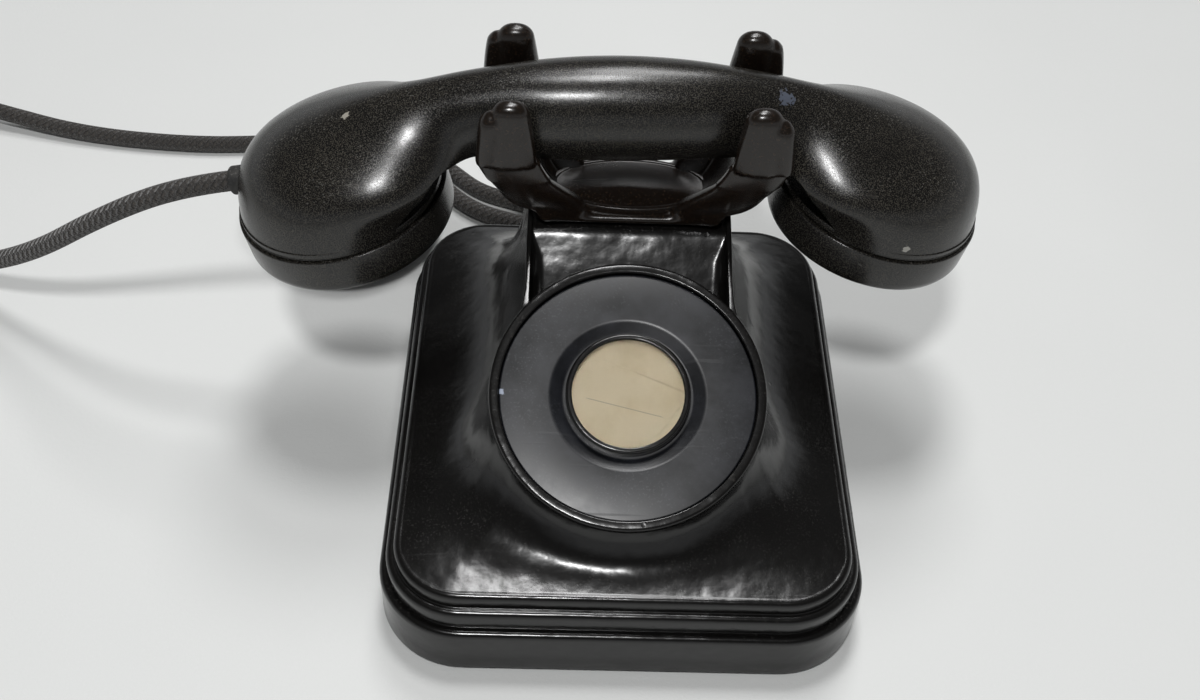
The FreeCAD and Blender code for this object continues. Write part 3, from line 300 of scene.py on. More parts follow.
def turned(profile, centre, axis, sides):
    """Surface of revolution: profile lists (radius, height, reach of the eased corner)."""
    axis = Vector(axis).normalized()
    across = axis.orthogonal().normalized()
    other = np.array(axis.cross(across))
    across, axis = np.array(across), np.array(axis)
    angles = np.linspace(0, 2 * math.pi, sides, endpoint=False)[:, None]
    spokes = np.cos(angles) * across + np.sin(angles) * other
    rows = [np.asarray(centre) + radius * spokes + height * axis for radius, height, _ in profile]
    return sheet_through(eased(rows, [reach for _, _, reach in profile]))


def to_mesh(name, shape):
    """Mesh of a shape, its doubles merged and its faces turned outwards."""
    points, faces = shape
    mesh = bpy.data.meshes.new(name)
    mesh.from_pydata(placed(points).tolist(), [], faces.tolist())
    work = bmesh.new()
    work.from_mesh(mesh)
    bmesh.ops.remove_doubles(work, verts=work.verts, dist=2e-6)
    bmesh.ops.recalc_face_normals(work, faces=work.faces)
    work.to_mesh(mesh)
    work.free()
    mesh.shade_smooth()
    mesh.set_sharp_from_angle(angle=math.radians(50))
    return mesh


def add_object(name, mesh):
    obj = bpy.data.objects.new(name, mesh)
    bpy.context.scene.collection.objects.link(obj)
    return obj


def piece(name, shape, finish, body, node):
    """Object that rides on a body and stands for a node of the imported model."""
    mesh = to_mesh(name, shape) if isinstance(shape, tuple) else shape
    mesh.materials.clear()
    mesh.materials.append(finish)
    obj = add_object(name, mesh)
    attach(obj, body)
    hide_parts(node)
    return obj


# Node trees

class Wiring:
    """Adds nodes to a tree and joins them."""

    def __init__(self, tree):
        self.tree = tree

    def node(self, kind, inputs=None, **settings):
        made = self.tree.nodes.new(kind)
        for key, value in settings.items():
            setattr(made, key, value)
        for key, value in (inputs or {}).items():
            self.give(made.inputs[key], value)
        return made

    def give(self, socket, value):
        if isinstance(value, bpy.types.NodeSocket):
            self.tree.links.new(value, socket)
        else:
            socket.default_value = value

    def math(self, operation, first, second=0.0, third=None, clamp=False):
        made = self.node("ShaderNodeMath", operation=operation, use_clamp=clamp)
        self.give(made.inputs[0], first)
        self.give(made.inputs[1], second)
        if third is not None:
            self.give(made.inputs[2], third)
        return made.outputs[0]

    def mix(self, share, first, second):
        made = self.node("ShaderNodeMix", data_type="RGBA")
        self.give(made.inputs[0], share)
        self.give(made.inputs[6], first)
        self.give(made.inputs[7], second)
        return made.outputs[2]

    def ramp(self, value, low, high):
        """0 at the low value, 1 at the high one, smooth between."""
        made = self.node("ShaderNodeMapRange", {"Value": value, "From Min": low, "From Max": high},
                         interpolation_type="SMOOTHSTEP")
        return made.outputs["Result"]

    def mapped(self, vector, **settings):
        """A place moved, turned or stretched, for a pattern that lies askew."""
        inputs = {"Vector": vector} | {key.capitalize(): value for key, value in settings.items()}
        return self.node("ShaderNodeMapping", inputs).outputs["Vector"]

    def noise(self, vector, scale, detail=3.0, roughness=0.5):
        """Cloudy values from 0 to 1."""
        made = self.node("ShaderNodeTexNoise", {"Vector": vector, "Scale": scale, "Detail": detail,
                                                "Roughness": roughness})
        return made.outputs["Fac"]


# Housing

def dial_plane_z(y):
    """Height of the tilted plane that the dial blank's seat lies in."""
    return dial_z + (y - dial_y) * math.tan(dial_tilt)


dial_axis = np.array([0, -math.sin(dial_tilt), math.cos(dial_tilt)])
dial_up = np.array([0, math.cos(dial_tilt), math.sin(dial_tilt)])


def at_dial(x, up, out):
    """Place measured along the dial's face and out of it."""
    return np.array([x, dial_y, dial_z]) + up * dial_up + out * dial_axis


def foot_distance(angles, half_x, half_y, corner, centre_y=0.0):
    """Distance at which rays from the housing's middle leave a rounded rectangle, found by halving."""
    near = np.zeros_like(angles)
    far = np.full_like(angles, 200.0)
    for _ in range(40):
        middle = (near + far) / 2
        x = np.abs(middle * np.cos(angles))
        y = np.abs(ray_y + middle * np.sin(angles) - centre_y)
        over = np.hypot(np.maximum(x - half_x + corner, 0), np.maximum(y - half_y + corner, 0))
        inside = (x <= half_x) & (y <= half_y) & (over <= corner)
        near = np.where(inside, middle, near)
        far = np.where(inside, far, middle)
    return near


def plinth_distance(angles, inset):
    """The same for the plinth's outline, drawn in by an inset."""
    return foot_distance(angles, plinth_width / 2 - inset, plinth_depth / 2 - inset, plinth_corner - inset)


def dial_edge_distance(angles, radius):
    """Distance at which the same rays leave a circle on the dial's plane, seen from above."""
    dx, dy = np.cos(angles), np.sin(angles)
    narrow = radius * math.cos(dial_tilt)
    offset = ray_y - dial_y
    a = (dx / radius) ** 2 + (dy / narrow) ** 2
    b = 2 * offset * dy / narrow ** 2
    c = (offset / narrow) ** 2 - 1
    return (-b + np.sqrt(b * b - 4 * a * c)) / (2 * a)


def top_distance(angles, inset):
    """Distance of the flank's top: the collar in front and the cheeks' outline behind."""
    turret_half_y = 50.0
    turret = foot_distance(angles, cheek_x - inset, turret_half_y, turret_corner,
                           turret_back_y - inset - turret_half_y)
    return np.maximum(dial_edge_distance(angles, collar_radius - collar_step - inset), turret)


def crest_z(y):
    """Height of the moulding's top in side view."""
    front_z = dial_plane_z(crest_front_y)
    rise = front_z + (peak_z - front_z) * (y - crest_front_y) / (peak_y - crest_front_y)
    share = np.maximum(y - peak_y, 0) / (turret_back_y - peak_y)
    fall = peak_z - (peak_z - turret_back_z) * share ** 2.6
    return np.where(y < crest_front_y, dial_plane_z(y), np.where(y < peak_y, rise, fall))


def station_angles():
    """Directions of the stations round the flank, set by the corners and sides of its foot."""
    half_x = plinth_width / 2 - brow_inset
    half_y = plinth_depth / 2 - brow_inset
    corner = plinth_corner - brow_inset
    points = []
    for sign_x, sign_y, start in ((1, 1, 0), (-1, 1, 90), (-1, -1, 180), (1, -1, 270)):
        for step in range(5):
            angle = math.radians(start + 22.5 * step)
            points.append((sign_x * (half_x - corner) + corner * math.cos(angle),
                           sign_y * (half_y - corner) + corner * math.sin(angle)))
        if start in (0, 180):
            points += [(sign_x * (half_x - corner) * share, sign_y * half_y) for share in (0.5, 0.0, -0.5)]
        else:
            side_y = sign_y * (half_y - corner)
            points += [(sign_x * half_x, side_y * share) for share in (0.6, 0.2, -0.2, -0.6)]
    return np.array([math.atan2(y - ray_y, x) for x, y in points])


def on_rays(angles, distances, z):
    """Points on the rays from the housing's middle."""
    z = np.broadcast_to(z, angles.shape)
    return np.stack([distances * np.cos(angles), ray_y + distances * np.sin(angles), z], axis=-1)


def flank_rings(inset, base_z):
    """The flank's loops from the foot's outline up to the collar and the cheeks, and one above."""
    angles = station_angles()
    foot = plinth_distance(angles, brow_inset + inset)
    top = top_distance(angles, inset)
    top_z = crest_z(ray_y + top * np.sin(angles)) - inset
    rings = [on_rays(angles, foot + (top - foot) * moved, base_z + (top_z - base_z) * risen)
             for moved, risen in flank_course]
    return rings + [on_rays(angles, top, sky_z)]


def shoulder_surface_z(y):
    """The moulding between the cheeks: level under the cradle, over a round edge, then straight down."""
    centre_z = shoulder_z - shoulder_round
    turned_y = shoulder_front_y - shoulder_round * math.sin(shoulder_slope)
    turned_z = centre_z + shoulder_round * math.cos(shoulder_slope)
    back = np.clip(shoulder_front_y - y, 0, shoulder_front_y - turned_y)
    arc = centre_z + np.sqrt(shoulder_round ** 2 - back ** 2)
    return np.where(y < turned_y, turned_z + (y - turned_y) * math.tan(shoulder_slope), arc)


def recess_floor_z(points):
    """Height of the shoulder, and of the well that it leaves under the dial blank."""
    under_dial = np.hypot(points[:, 0], (points[:, 1] - dial_y) / math.cos(dial_tilt)) < collar_radius
    surface = shoulder_surface_z(points[:, 1])
    return np.where(under_dial, np.minimum(surface, dial_plane_z(points[:, 1]) - well_below_dial), surface)


def fillet_rise(points, from_wall):
    """How far the shoulder climbs the side walls, in front of the cradle."""
    radius = recess_fillet * np.clip((cradle_y - block_depth / 2 - 1.5 - points[:, 1]) / 6, 0.001, 1)
    return radius - np.sqrt(radius ** 2 - np.maximum(radius - from_wall, 0) ** 2)


def rounded_edge(inset, top_z):
    """Profile of a moulded edge, from its side over to its top."""
    return [(inset + edge_round * (1 - math.cos(turn)), top_z - edge_round * (1 - math.sin(turn)), 0)
            for turn in np.linspace(0, math.pi / 2, 7)]


def band_profile():
    """Plinth, groove, band and bead, as (inset, height, reach of the eased corner)."""
    groove_z = plinth_top_z + groove_height
    band_z = groove_z + band_height
    profile = [(wall, foot_height + 3, 0), (wall, foot_height, 0.2), (0, foot_height, 0.5)]
    profile += rounded_edge(0, plinth_top_z)
    profile += [(groove_inset, plinth_top_z, corner_ease), (groove_inset, groove_z, corner_ease),
                (band_inset, groove_z, corner_ease)]
    profile += rounded_edge(band_inset, band_z) + [(bead_inset, band_z, corner_ease)]
    return profile + rounded_edge(bead_inset, brow_z)


def flank_rows():
    """The flared flank, from the brow up to the crest."""
    loops = np.array([smooth_loop(ring, loop_steps) for ring in flank_rings(0.0, brow_z)])
    gaps = np.linalg.norm(np.diff(loops, axis=0), axis=-1).mean(axis=1)
    places = np.concatenate([[0], np.cumsum(gaps)])
    rows = spline(places, loops, np.linspace(0, places[-2], flank_row_count))
    rows[-1, :, 2] = crest_z(rows[-1, :, 1])
    return rows


def recess_distance(angles, crest_distance):
    """Distance of the inner edge of the cheeks, of the turret's back and of the collar."""
    recess_x = cheek_x - cheek_wall
    ys = np.linspace(peak_y, turret_back_y, 400)
    recess_back_y = np.interp(-shoulder_z, -crest_z(ys), ys)
    to_side = recess_x / np.maximum(np.abs(np.cos(angles)), 1e-6)
    rise = np.sin(angles)
    to_back = np.where(rise > 1e-6, (recess_back_y - ray_y) / np.maximum(rise, 1e-6), 1e6)
    round_collar = dial_edge_distance(angles, collar_radius - collar_step - crest_rim)
    return np.minimum(np.maximum(np.minimum(to_side, to_back), round_collar), crest_distance - crest_rim)


def recess_rows(crest):
    """From the crest's inner edge down into the recess and over its floor to the middle."""
    angles = np.arctan2(crest[:, 1] - ray_y, crest[:, 0])
    inner = recess_distance(angles, np.hypot(crest[:, 0], crest[:, 1] - ray_y))
    edge = on_rays(angles, inner, 0)
    edge[:, 2] = crest_z(edge[:, 1])
    rows = [edge]
    for share in 1 - np.linspace(0, 1, floor_row_count) ** 1.5:
        floor = on_rays(angles, inner * share, 0)
        climb = fillet_rise(floor, inner * (1 - share))
        floor[:, 2] = np.minimum(recess_floor_z(floor) + climb, edge[:, 2])
        rows.append(floor)
    return rows


def hollow_rows():
    """The shell's inside, from its middle out to the foot of the flank."""
    rows = []
    for ring in flank_rings(wall, brow_z - wall)[:-1]:
        loop = smooth_loop(ring, loop_steps)
        below = np.minimum(recess_floor_z(loop), crest_z(loop[:, 1])) - 3
        loop[:, 2] = np.minimum(loop[:, 2], np.maximum(below, foot_height + 6))
        rows.append(loop)
    rows.append(np.broadcast_to([0, ray_y, 52.0], rows[0].shape))
    return rows[::-1]


def housing_rows():
    flank = flank_rows()
    angles = np.arctan2(flank[0, :, 1] - ray_y, flank[0, :, 0])
    profile = band_profile()
    bands = [on_rays(angles, plinth_distance(angles, inset), z) for inset, z, _ in profile]
    recess = recess_rows(flank[-1])
    reaches = [reach for _, _, reach in profile] + [0.4] + [0] * (len(flank) - 2) + [0.5]
    reaches += [corner_ease] + [0] * (len(recess) - 1)
    return hollow_rows() + eased(bands + list(flank) + recess, reaches)


def collar_shape():
    """Round collar with the seat and the ledge that the dial blank lies on."""
    ledge = seat_radius - seat_ledge
    start = (seat_radius, (collar_proud - seat_depth) / 2, 0)
    profile = [start, (seat_radius, collar_proud, 0.4), (collar_radius, collar_proud, collar_lip),
               (collar_radius, -collar_root, 0), (seat_radius + 1, -collar_root, 0),
               (ledge, -seat_depth - 0.6, 0), (ledge, -seat_depth, 0), (seat_radius, -seat_depth, 0), start]
    return turned(profile, at_dial(0, 0, 0), dial_axis, 256)


def housing(finish):
    shape = joined(sheet_through(housing_rows()), collar_shape())
    return piece("housing_moulding", shape, finish, "base", "housing")


# Dial blank and card holder

def dial_blank(finish):
    """Round plate with a conical recess and a raised land for the card in its middle."""
    top = blank_thickness
    floor = top - well_depth
    land = floor + land_height
    profile = [(0, 0, 0), (blank_radius, 0, 0.2), (blank_radius, top, 0.5), (well_radius, top, 0.6),
               (holder_radius + 0.9, floor, 0.4), (card_radius, floor, 0),
               (card_radius, land, 0.1), (0, land, 0)]
    shape = turned(profile, at_dial(0, 0, -seat_depth), dial_axis, 256)
    return piece("blank_plate", shape, finish, "base", "dial_blank")


def card_ring(finish):
    """Ring with a lip that holds the card and its window."""
    lip_z = land_height + card_thickness + window_thickness
    inner = card_radius + 0.1
    opening = card_radius - holder_lip
    start = ((inner + holder_radius) / 2, 0, 0)
    profile = [start, (holder_radius, 0, 0.1), (holder_radius, holder_height - 0.6, 0.3),
               (holder_radius - 0.5, holder_height, 0.4), (opening + 0.2, holder_height, 0.3),
               (opening, lip_z, 0.1), (inner, lip_z, 0), (inner, 0, 0), start]
    shape = turned(profile, at_dial(0, 0, well_floor), dial_axis, 200)
    return piece("card_holder_ring", shape, finish, "base", "card_ring")


def number_card(finish):
    """Two sheets of card: the upper one is folded, and cut by hand short of the ring at its lower right."""
    angles = np.linspace(0, 2 * math.pi, 240, endpoint=False)
    spokes = np.cos(angles)[:, None] * np.array([1.0, 0, 0]) + np.sin(angles)[:, None] * dial_up
    floor = at_dial(0, 0, well_floor + land_height)
    reach = card_radius - 0.2
    rows = [np.broadcast_to(floor, spokes.shape), floor + reach * spokes]
    for radius in np.linspace(reach, 0, 71):
        x, up = radius * np.cos(angles), radius * np.sin(angles)
        below_fold = card_fold_up - up * math.cos(card_fold_turn) - x * math.sin(card_fold_turn)
        ragged = 0.35 * np.sin(0.9 * x) * np.cos(1.7 * up)
        past_cut = x * math.cos(card_cut_turn) - up * math.sin(card_cut_turn) - card_cut_distance - ragged
        sunk = card_fold_drop * np.clip(below_fold / 0.3, 0, 1)
        sunk = sunk + card_cut_drop * np.clip(past_cut / 0.2, 0, 1)
        rows.append(floor + radius * spokes + (card_thickness - sunk)[:, None] * dial_axis)
    return piece("paper_card", sheet_through(rows), finish, "base", "number_card")


def card_window(finish):
    """Clear disc that lies on the card, a hair above it."""
    low, high = 0.03, window_thickness
    profile = [(0, low, 0), (card_radius, low, 0), (card_radius, high, 0.1), (0, high, 0)]
    shape = turned(profile, at_dial(0, 0, well_floor + land_height + card_thickness), dial_axis, 128)
    return piece("clear_window", shape, finish, "base", "card_window")


# Cradle

def oval_rows(levels, side, end, steps=5, sides=56, power=2.4):
    """Closed surface through (z, x, y, half_x, half_y) levels, mirrored to a side and an end."""
    angles = np.linspace(0, 2 * math.pi, sides, endpoint=False)
    c, s = np.cos(angles), np.sin(angles)
    outline_x = np.sign(c) * np.abs(c) ** (2 / power)
    outline_y = np.sign(s) * np.abs(s) ** (2 / power)
    rows = [np.stack([side * x + half_x * outline_x, cradle_y + end * y + half_y * outline_y,
                      np.full_like(angles, z)], axis=-1) for z, x, y, half_x, half_y in levels]
    last = len(levels) - 1
    dense = spline(range(last + 1), rows, np.linspace(0, last, last * steps + 1))
    ends = [np.broadcast_to(row.mean(axis=0), row.shape) for row in (dense[0], dense[-1])]
    return sheet_through([ends[0], *dense, ends[1]])


def horn(side, end):
    """One of the four horns: its arm, the finger and the lobe beside it, as (z, x, y, half_x, half_y)."""
    arm = [(83.0, 20.5, 9.8, 8.0, 4.4), (88.0, 23.4, 11.6, 8.8, 4.4), (93.0, 27.6, 14.4, 9.8, 4.4),
           (98.0, 31.2, 17.0, 9.8, 4.2), (103.5, 34.4, 19.3, 9.4, 3.5), (pad_z, 37.4, 19.8, 9.4, 3.2)]
    tip = horn_tip_z
    finger = [(pad_z, 36.4, 20.2, 7.8, 4.2), (pad_z + 2, 36.4, 20.2, 7.6, 4.2), (118.0, 36.3, 19.8, 6.8, 4.0),
              (tip - 5.5, horn_x, horn_reach, 5.9, 3.9), (tip - 2.9, horn_x, horn_reach, 5.3, 3.5),
              (tip - 1.4, horn_x, horn_reach, 4.1, 2.8), (tip - 0.4, horn_x, horn_reach, 2.4, 1.6),
              (tip, horn_x, horn_reach, 0.4, 0.3)]
    low = tip - lobe_drop
    lobe = [(pad_z, 42.6, 20.5, 3.4, 3.6), (pad_z + 2, 43.0, 20.5, 3.6, 3.6), (low - 5, 42.2, 20.1, 3.4, 3.4),
            (low - 1.8, lobe_x, 19.8, 2.8, 2.8), (low - 0.5, lobe_x, 19.8, 1.7, 1.7),
            (low, lobe_x, 19.8, 0.3, 0.3)]
    return [oval_rows(levels, side, end) for levels in (arm, finger, lobe)]


def yoke(side):
    """Curved web that joins the two horns of a side under the handle."""
    saddle_z = underside_z - 0.1
    under = np.array([(27.0, 82.0), (29.4, 86.0), (33.0, 87.2), (37.6, 90.0), (41.0, 94.6),
                      (saddle_half_x, 100.5)])
    over = np.array([(33.0, saddle_z), (31.0, 101.5), (28.5, 95.0), (25.2, 88.5), (21.0, block_top_z)])
    outline = np.concatenate([spline(range(6), under, np.linspace(0, 5, 41)), [(saddle_half_x, saddle_z)],
                              spline(range(5), over, np.linspace(0, 4, 33))])
    middle = outline.mean(axis=0)
    rows = []
    for y, drawn_in in ((-1, 1.0), (-1, 0.04), (-0.975, 0.012), (-0.92, 0),
                        (0.92, 0), (0.975, 0.012), (1, 0.04), (1, 1.0)):
        loop = outline + (middle - outline) * drawn_in
        across = np.full(len(loop), cradle_y + y * saddle_half_y)
        rows.append(np.stack([side * loop[:, 0], across, loop[:, 1]], axis=-1))
    return sheet_through(rows)


def rounded_rect_loop(half_x, half_y, corner, z, steps=8):
    """Rounded rectangle about the cradle's middle, at one height."""
    points = []
    for sign_x, sign_y, start in ((1, 1, 0), (-1, 1, 90), (-1, -1, 180), (1, -1, 270)):
        for angle in np.radians(np.linspace(start, start + 90, steps + 1)):
            points.append((sign_x * (half_x - corner) + corner * math.cos(angle),
                           cradle_y + sign_y * (half_y - corner) + corner * math.sin(angle), z))
    return np.array(points)


def block():
    """Block between the cheeks, with eased edges."""
    levels = ((0.8, block_bottom_z), (0.0, block_bottom_z + 0.8),
              (0.0, block_top_z - 1.0), (1.0, block_top_z))
    corner = 3.0
    rows = [rounded_rect_loop(block_half_x - inset, block_depth / 2 - inset, corner - inset, z)
            for inset, z in levels]
    ends = [np.broadcast_to((0, cradle_y, row[0, 2]), row.shape) for row in (rows[0], rows[-1])]
    return sheet_through([ends[0], *rows, ends[1]])


def boss():
    """Oval medallion on the block: a crisp rim round a low dome."""
    angles = np.linspace(0, 2 * math.pi, 200, endpoint=False)
    top = block_top_z + boss_rise
    levels = [(0.4, block_top_z - 1.5, 0), (-0.2, block_top_z, 0.3), (0.0, top, 0.35),
              (boss_rim - 0.4, top, 0.2), (boss_rim, top - 0.4, 0.2)]
    for share in np.linspace(0.95, 0, 16):
        inset = boss_depth / 2 - share * (boss_depth / 2 - boss_rim)
        levels.append((inset, top - 0.4 + boss_dome * (1 - share ** 2), 0))
    rows = []
    for inset, z, _ in levels:
        shrunk = 1 - inset / (boss_depth / 2)
        half_x = boss_length / 2 * shrunk if inset > boss_rim else boss_length / 2 - inset
        half_y = boss_depth / 2 - inset
        rows.append(np.stack([half_x * np.cos(angles), cradle_y + half_y * np.sin(angles),
                              np.full_like(angles, z)], axis=-1))
    rows = eased(rows, [reach for _, _, reach in levels])
    below = np.broadcast_to((0, cradle_y, rows[0][0, 2]), rows[0].shape)
    return sheet_through([below, *rows])


def melted(shape, voxel, passes, low_z, low_passes):
    """Overlapping closed shapes as one skin, its inner corners softened, and more so below a height."""
    draft = add_object("draft", to_mesh("draft", shape))
    remesh = draft.modifiers.new("one skin", "REMESH")
    remesh.mode = "VOXEL"
    remesh.voxel_size = voxel / 1000
    mesh = bpy.data.meshes.new_from_object(draft.evaluated_get(bpy.context.evaluated_depsgraph_get()))
    bpy.data.objects.remove(draft)
    work = bmesh.new()
    work.from_mesh(mesh)
    low = [vertex for vertex in work.verts if vertex.co.z < low_z / 1000]
    for verts, times in ((work.verts, passes), (low, low_passes)):
        for _ in range(times):
            bmesh.ops.smooth_vert(work, verts=verts, factor=0.5,
                                  use_axis_x=True, use_axis_y=True, use_axis_z=True)
    work.to_mesh(mesh)
    work.free()
    return mesh


def cradle(finish):
    shapes = [block(), yoke(-1), yoke(1)]
    for side in (-1, 1):
        for end in (-1, 1):
            shapes += horn(side, end)
    arms = melted(joined(*shapes), voxel=0.5, passes=3, low_z=103.0, low_passes=40)
    work = bmesh.new()
    work.from_mesh(arms)
    work.from_mesh(to_mesh("boss", boss()))
    work.to_mesh(arms)
    work.free()
    arms.shade_smooth()
    arms.set_sharp_from_angle(angle=math.radians(50))
    return piece("cradle_moulding", arms, finish, "cradle", "cradle")


# Handset

# The sections of each head turn like a fan about a line at the foot of the neck
fan_z = joint_z + (head_spacing - neck_x) * math.tan(head_slope)
fan = np.array([neck_x, 0, fan_z])
head_axis = np.array([math.sin(head_slope), 0, math.cos(head_slope)])
head_outward = np.array([math.cos(head_slope), 0, -math.sin(head_slope)])
head_centre = np.array([head_spacing, 0, joint_z])
arch_centre = np.array([0, 0, handle_top_z - handle_arch_radius])

# Sections of a head, from the joint up to the neck: degrees about the fan's line, distance of the
# underside from it, half depth, and how much fuller the lower half is
head_course = ((-11.7, 15.3, head_radius, 0.0), (0.0, 14.4, 31.8, 0.06), (18.0, 12.6, 27.4, 0.18),
               (38.0, 10.4, 18.2, 0.26), (56.0, 8.4, 13.2, 0.18), (73.0, 6.6, 12.1, 0.05))
half_turns = np.linspace(0, math.pi, 121)


def laid_askew(points):
    """From the handset's own place to its place in the cradle."""
    points = np.asarray(points, float)
    c, s = math.cos(handset_yaw), math.sin(handset_yaw)
    turned_points = points @ np.array([[c, s, 0], [-s, c, 0], [0, 0, 1]])
    return turned_points + (handset_x, cradle_y + handset_x * math.tan(handset_yaw), 0)


def laid_direction(direction):
    """A direction turned with the handset."""
    return laid_askew(direction) - laid_askew((0, 0, 0))


def shoulder_arc():
    """Arc that meets the handle's arch smoothly and ends square to the joint."""
    joint_outer = head_centre + head_radius * head_outward
    offset = joint_outer - arch_centre
    radius = (handle_arch_radius ** 2 - offset @ offset) / (2 * (handle_arch_radius - offset @ head_outward))
    return joint_outer - radius * head_outward, radius


def back_distance(angle):
    """From the fan's line to the handset's back, in the direction of an angle."""
    direction = np.array([math.cos(angle), 0, math.sin(angle)])
    centre, radius = shoulder_arc()
    to_centre = centre - arch_centre
    meeting = arch_centre + handle_arch_radius * to_centre / np.linalg.norm(to_centre) - fan
    if angle >= math.atan2(meeting[2], meeting[0]):
        centre, radius = arch_centre, handle_arch_radius
    offset = fan - centre
    half_b = offset @ direction
    return -half_b + math.sqrt(half_b ** 2 - offset @ offset + radius ** 2)


def head_section(degrees, inner, half_depth, low_fullness, side):
    """Half outline of a head, on a plane through the fan's line."""
    angle = math.radians(degrees)
    direction = np.array([math.cos(angle), 0, math.sin(angle)])
    outer = back_distance(angle)
    along = (outer + inner) / 2 + (outer - inner) / 2 * np.cos(half_turns)
    points = fan + along[:, None] * direction
    points[:, 1] = half_depth * np.sin(half_turns) * (1 - low_fullness * np.cos(half_turns))
    return points * (side, 1, 1)


def handle_section(u):
    """Half outline of the handle, square across it."""
    top = arch_centre[2] + math.sqrt(handle_arch_radius ** 2 - u * u)
    half_depth = grip_half_depth + (neck_half_depth - grip_half_depth) * (u / neck_x) ** 2
    z = (top + handle_bottom_z) / 2 + (top - handle_bottom_z) / 2 * np.cos(half_turns)
    return np.stack([np.full_like(z, u), half_depth * np.sin(half_turns), z], axis=-1)


def gap_roof_z(u):
    """Height under which the hand gap is open."""
    foot_z = joint_z + 6.0
    corner = np.array([gap_top_x + gap_round / 2, underside_z])
    down = np.array([gap_foot_x, foot_z]) - corner
    down /= np.linalg.norm(down)
    reach = gap_round * math.tan(math.acos(down[0]) / 2)
    start, end = corner - (reach, 0), corner + reach * down
    shares = np.linspace(0, 1, 9)[:, None]
    arc = (1 - shares) ** 2 * start + 2 * shares * (1 - shares) * corner + shares ** 2 * end
    foot = [(gap_foot_x, foot_z), (gap_foot_x + 2, 60.0), (gap_foot_x + 2.1, -200.0)]
    outline = np.concatenate([[(0, underside_z)], arc, foot])
    return np.interp(np.abs(u), outline[:, 0], outline[:, 1])


def gap_trimmed(half_section, arc_steps=44):
    """Whole outline of a section, from its back round to the flat cut by the hand gap."""
    inside = gap_roof_z(half_section[:, 0]) - half_section[:, 2]
    first = int(np.argmax(inside > 0))
    if inside[first] <= 0:
        cut = half_turns[-1]
    else:
        share = inside[first - 1] / (inside[first - 1] - inside[first])
        cut = half_turns[first - 1] + share * (half_turns[1] - half_turns[0])
    turns = cut * np.linspace(0, 1, arc_steps + 1) ** 0.9
    arc = np.stack([np.interp(turns, half_turns, half_section[:, axis]) for axis in range(3)], axis=-1)
    level = np.ones(gap_flat_steps)
    flat = arc[-1] * np.stack([level, np.linspace(1, 0, gap_flat_steps + 1)[1:], level], axis=-1)
    half = np.concatenate([arc, flat])
    mirrored = half[::-1] * (1, -1, 1)
    return np.concatenate([mirrored, half[1:]])


def handset_skin():
    """Skin from head to head over the handle, with the edges of the hand gap eased."""
    left, right = [[head_section(*course, side) for course in head_course] for side in (-1, 1)]
    handle = [handle_section(u) for u in (-neck_x, -22.0, 0.0, 22.0, neck_x)]
    sections = np.array(left + handle + right[::-1])
    middles = (sections[:, 0] + sections[:, -1]) / 2
    places = np.concatenate([[0], np.cumsum(np.linalg.norm(np.diff(middles, axis=0), axis=-1))])
    dense = spline(places, sections, np.linspace(0, places[-1], 261))
    rows = np.array([gap_trimmed(section) for section in dense])
    reaches = [0] * rows.shape[1]
    reaches[gap_flat_steps] = reaches[-1 - gap_flat_steps] = 0.7
    lines = eased(list(rows.transpose(1, 0, 2)), reaches)
    rows = np.array(lines).transpose(1, 0, 2)
    ends = [np.broadcast_to(row.mean(axis=0), row.shape) for row in (rows[0], rows[-1])]
    return sheet_through([ends[0], *rows, ends[1]])


def head_ends():
    """Centre of each joint between head and cap, with the direction up into the head."""
    return [(head_centre * (side, 1, 1), head_axis * (side, 1, 1)) for side in (-1, 1)]


def handset(finish):
    flange = [(0, 0, 0), (head_radius, 0, 0.35), (head_radius, flange_height, 0.3), (0, flange_height, 0)]
    start = (28.0, 0.3, 0)
    spigot = [start, (spigot_radius, 0.3, 0), (spigot_radius, -spigot_reach, 0.3),
              (spigot_bore, -spigot_reach, 0.3), (spigot_bore, 0.3, 0), start]
    shapes = [handset_skin()]
    for centre, up in head_ends():
        shapes += [turned(flange, centre, up, 200), turned(spigot, centre, up, 120)]
    points, faces = joined(*shapes)
    return piece("handset_moulding", (laid_askew(points), faces), finish, "handset", "handset_body")


def perforation_tree():
    """Rings of round cutters about the Z axis."""
    tree = bpy.data.node_groups.new("ring of holes", "GeometryNodeTree")
    for socket, kind, default in (("Holes", "NodeSocketInt", 6), ("Ring Radius", "NodeSocketFloat", 0.006),
                                  ("Hole Radius", "NodeSocketFloat", 0.001)):
        tree.interface.new_socket(socket, in_out="INPUT", socket_type=kind).default_value = default
    tree.interface.new_socket("Material", in_out="INPUT", socket_type="NodeSocketMaterial")
    tree.interface.new_socket("Geometry", in_out="OUTPUT", socket_type="NodeSocketGeometry")
    w = Wiring(tree)
    given = w.node("NodeGroupInput").outputs
    share = w.math("DIVIDE", w.node("GeometryNodeInputIndex").outputs["Index"], given["Holes"])
    angle = w.math("MULTIPLY", share, 2 * math.pi)
    spoke = w.node("ShaderNodeCombineXYZ", {"X": w.math("COSINE", angle), "Y": w.math("SINE", angle)})
    place = w.node("ShaderNodeVectorMath", {0: spoke.outputs["Vector"], "Scale": given["Ring Radius"]},
                   operation="SCALE")
    ring = w.node("GeometryNodePoints", {"Count": given["Holes"], "Position": place.outputs["Vector"]})
    cutter = w.node("GeometryNodeMeshCylinder", {"Vertices": 20, "Depth": 0.02,
                                                 "Radius": given["Hole Radius"]})
    scatter = w.node("GeometryNodeInstanceOnPoints", {"Points": ring.outputs["Points"],
                                                      "Instance": cutter.outputs["Mesh"]})
    real = w.node("GeometryNodeRealizeInstances", {"Geometry": scatter.outputs["Instances"]})
    painted = w.node("GeometryNodeSetMaterial", {"Geometry": real.outputs["Geometry"],
                                                 "Material": given["Material"]})
    w.node("NodeGroupOutput", {"Geometry": painted.outputs["Geometry"]})
    return tree


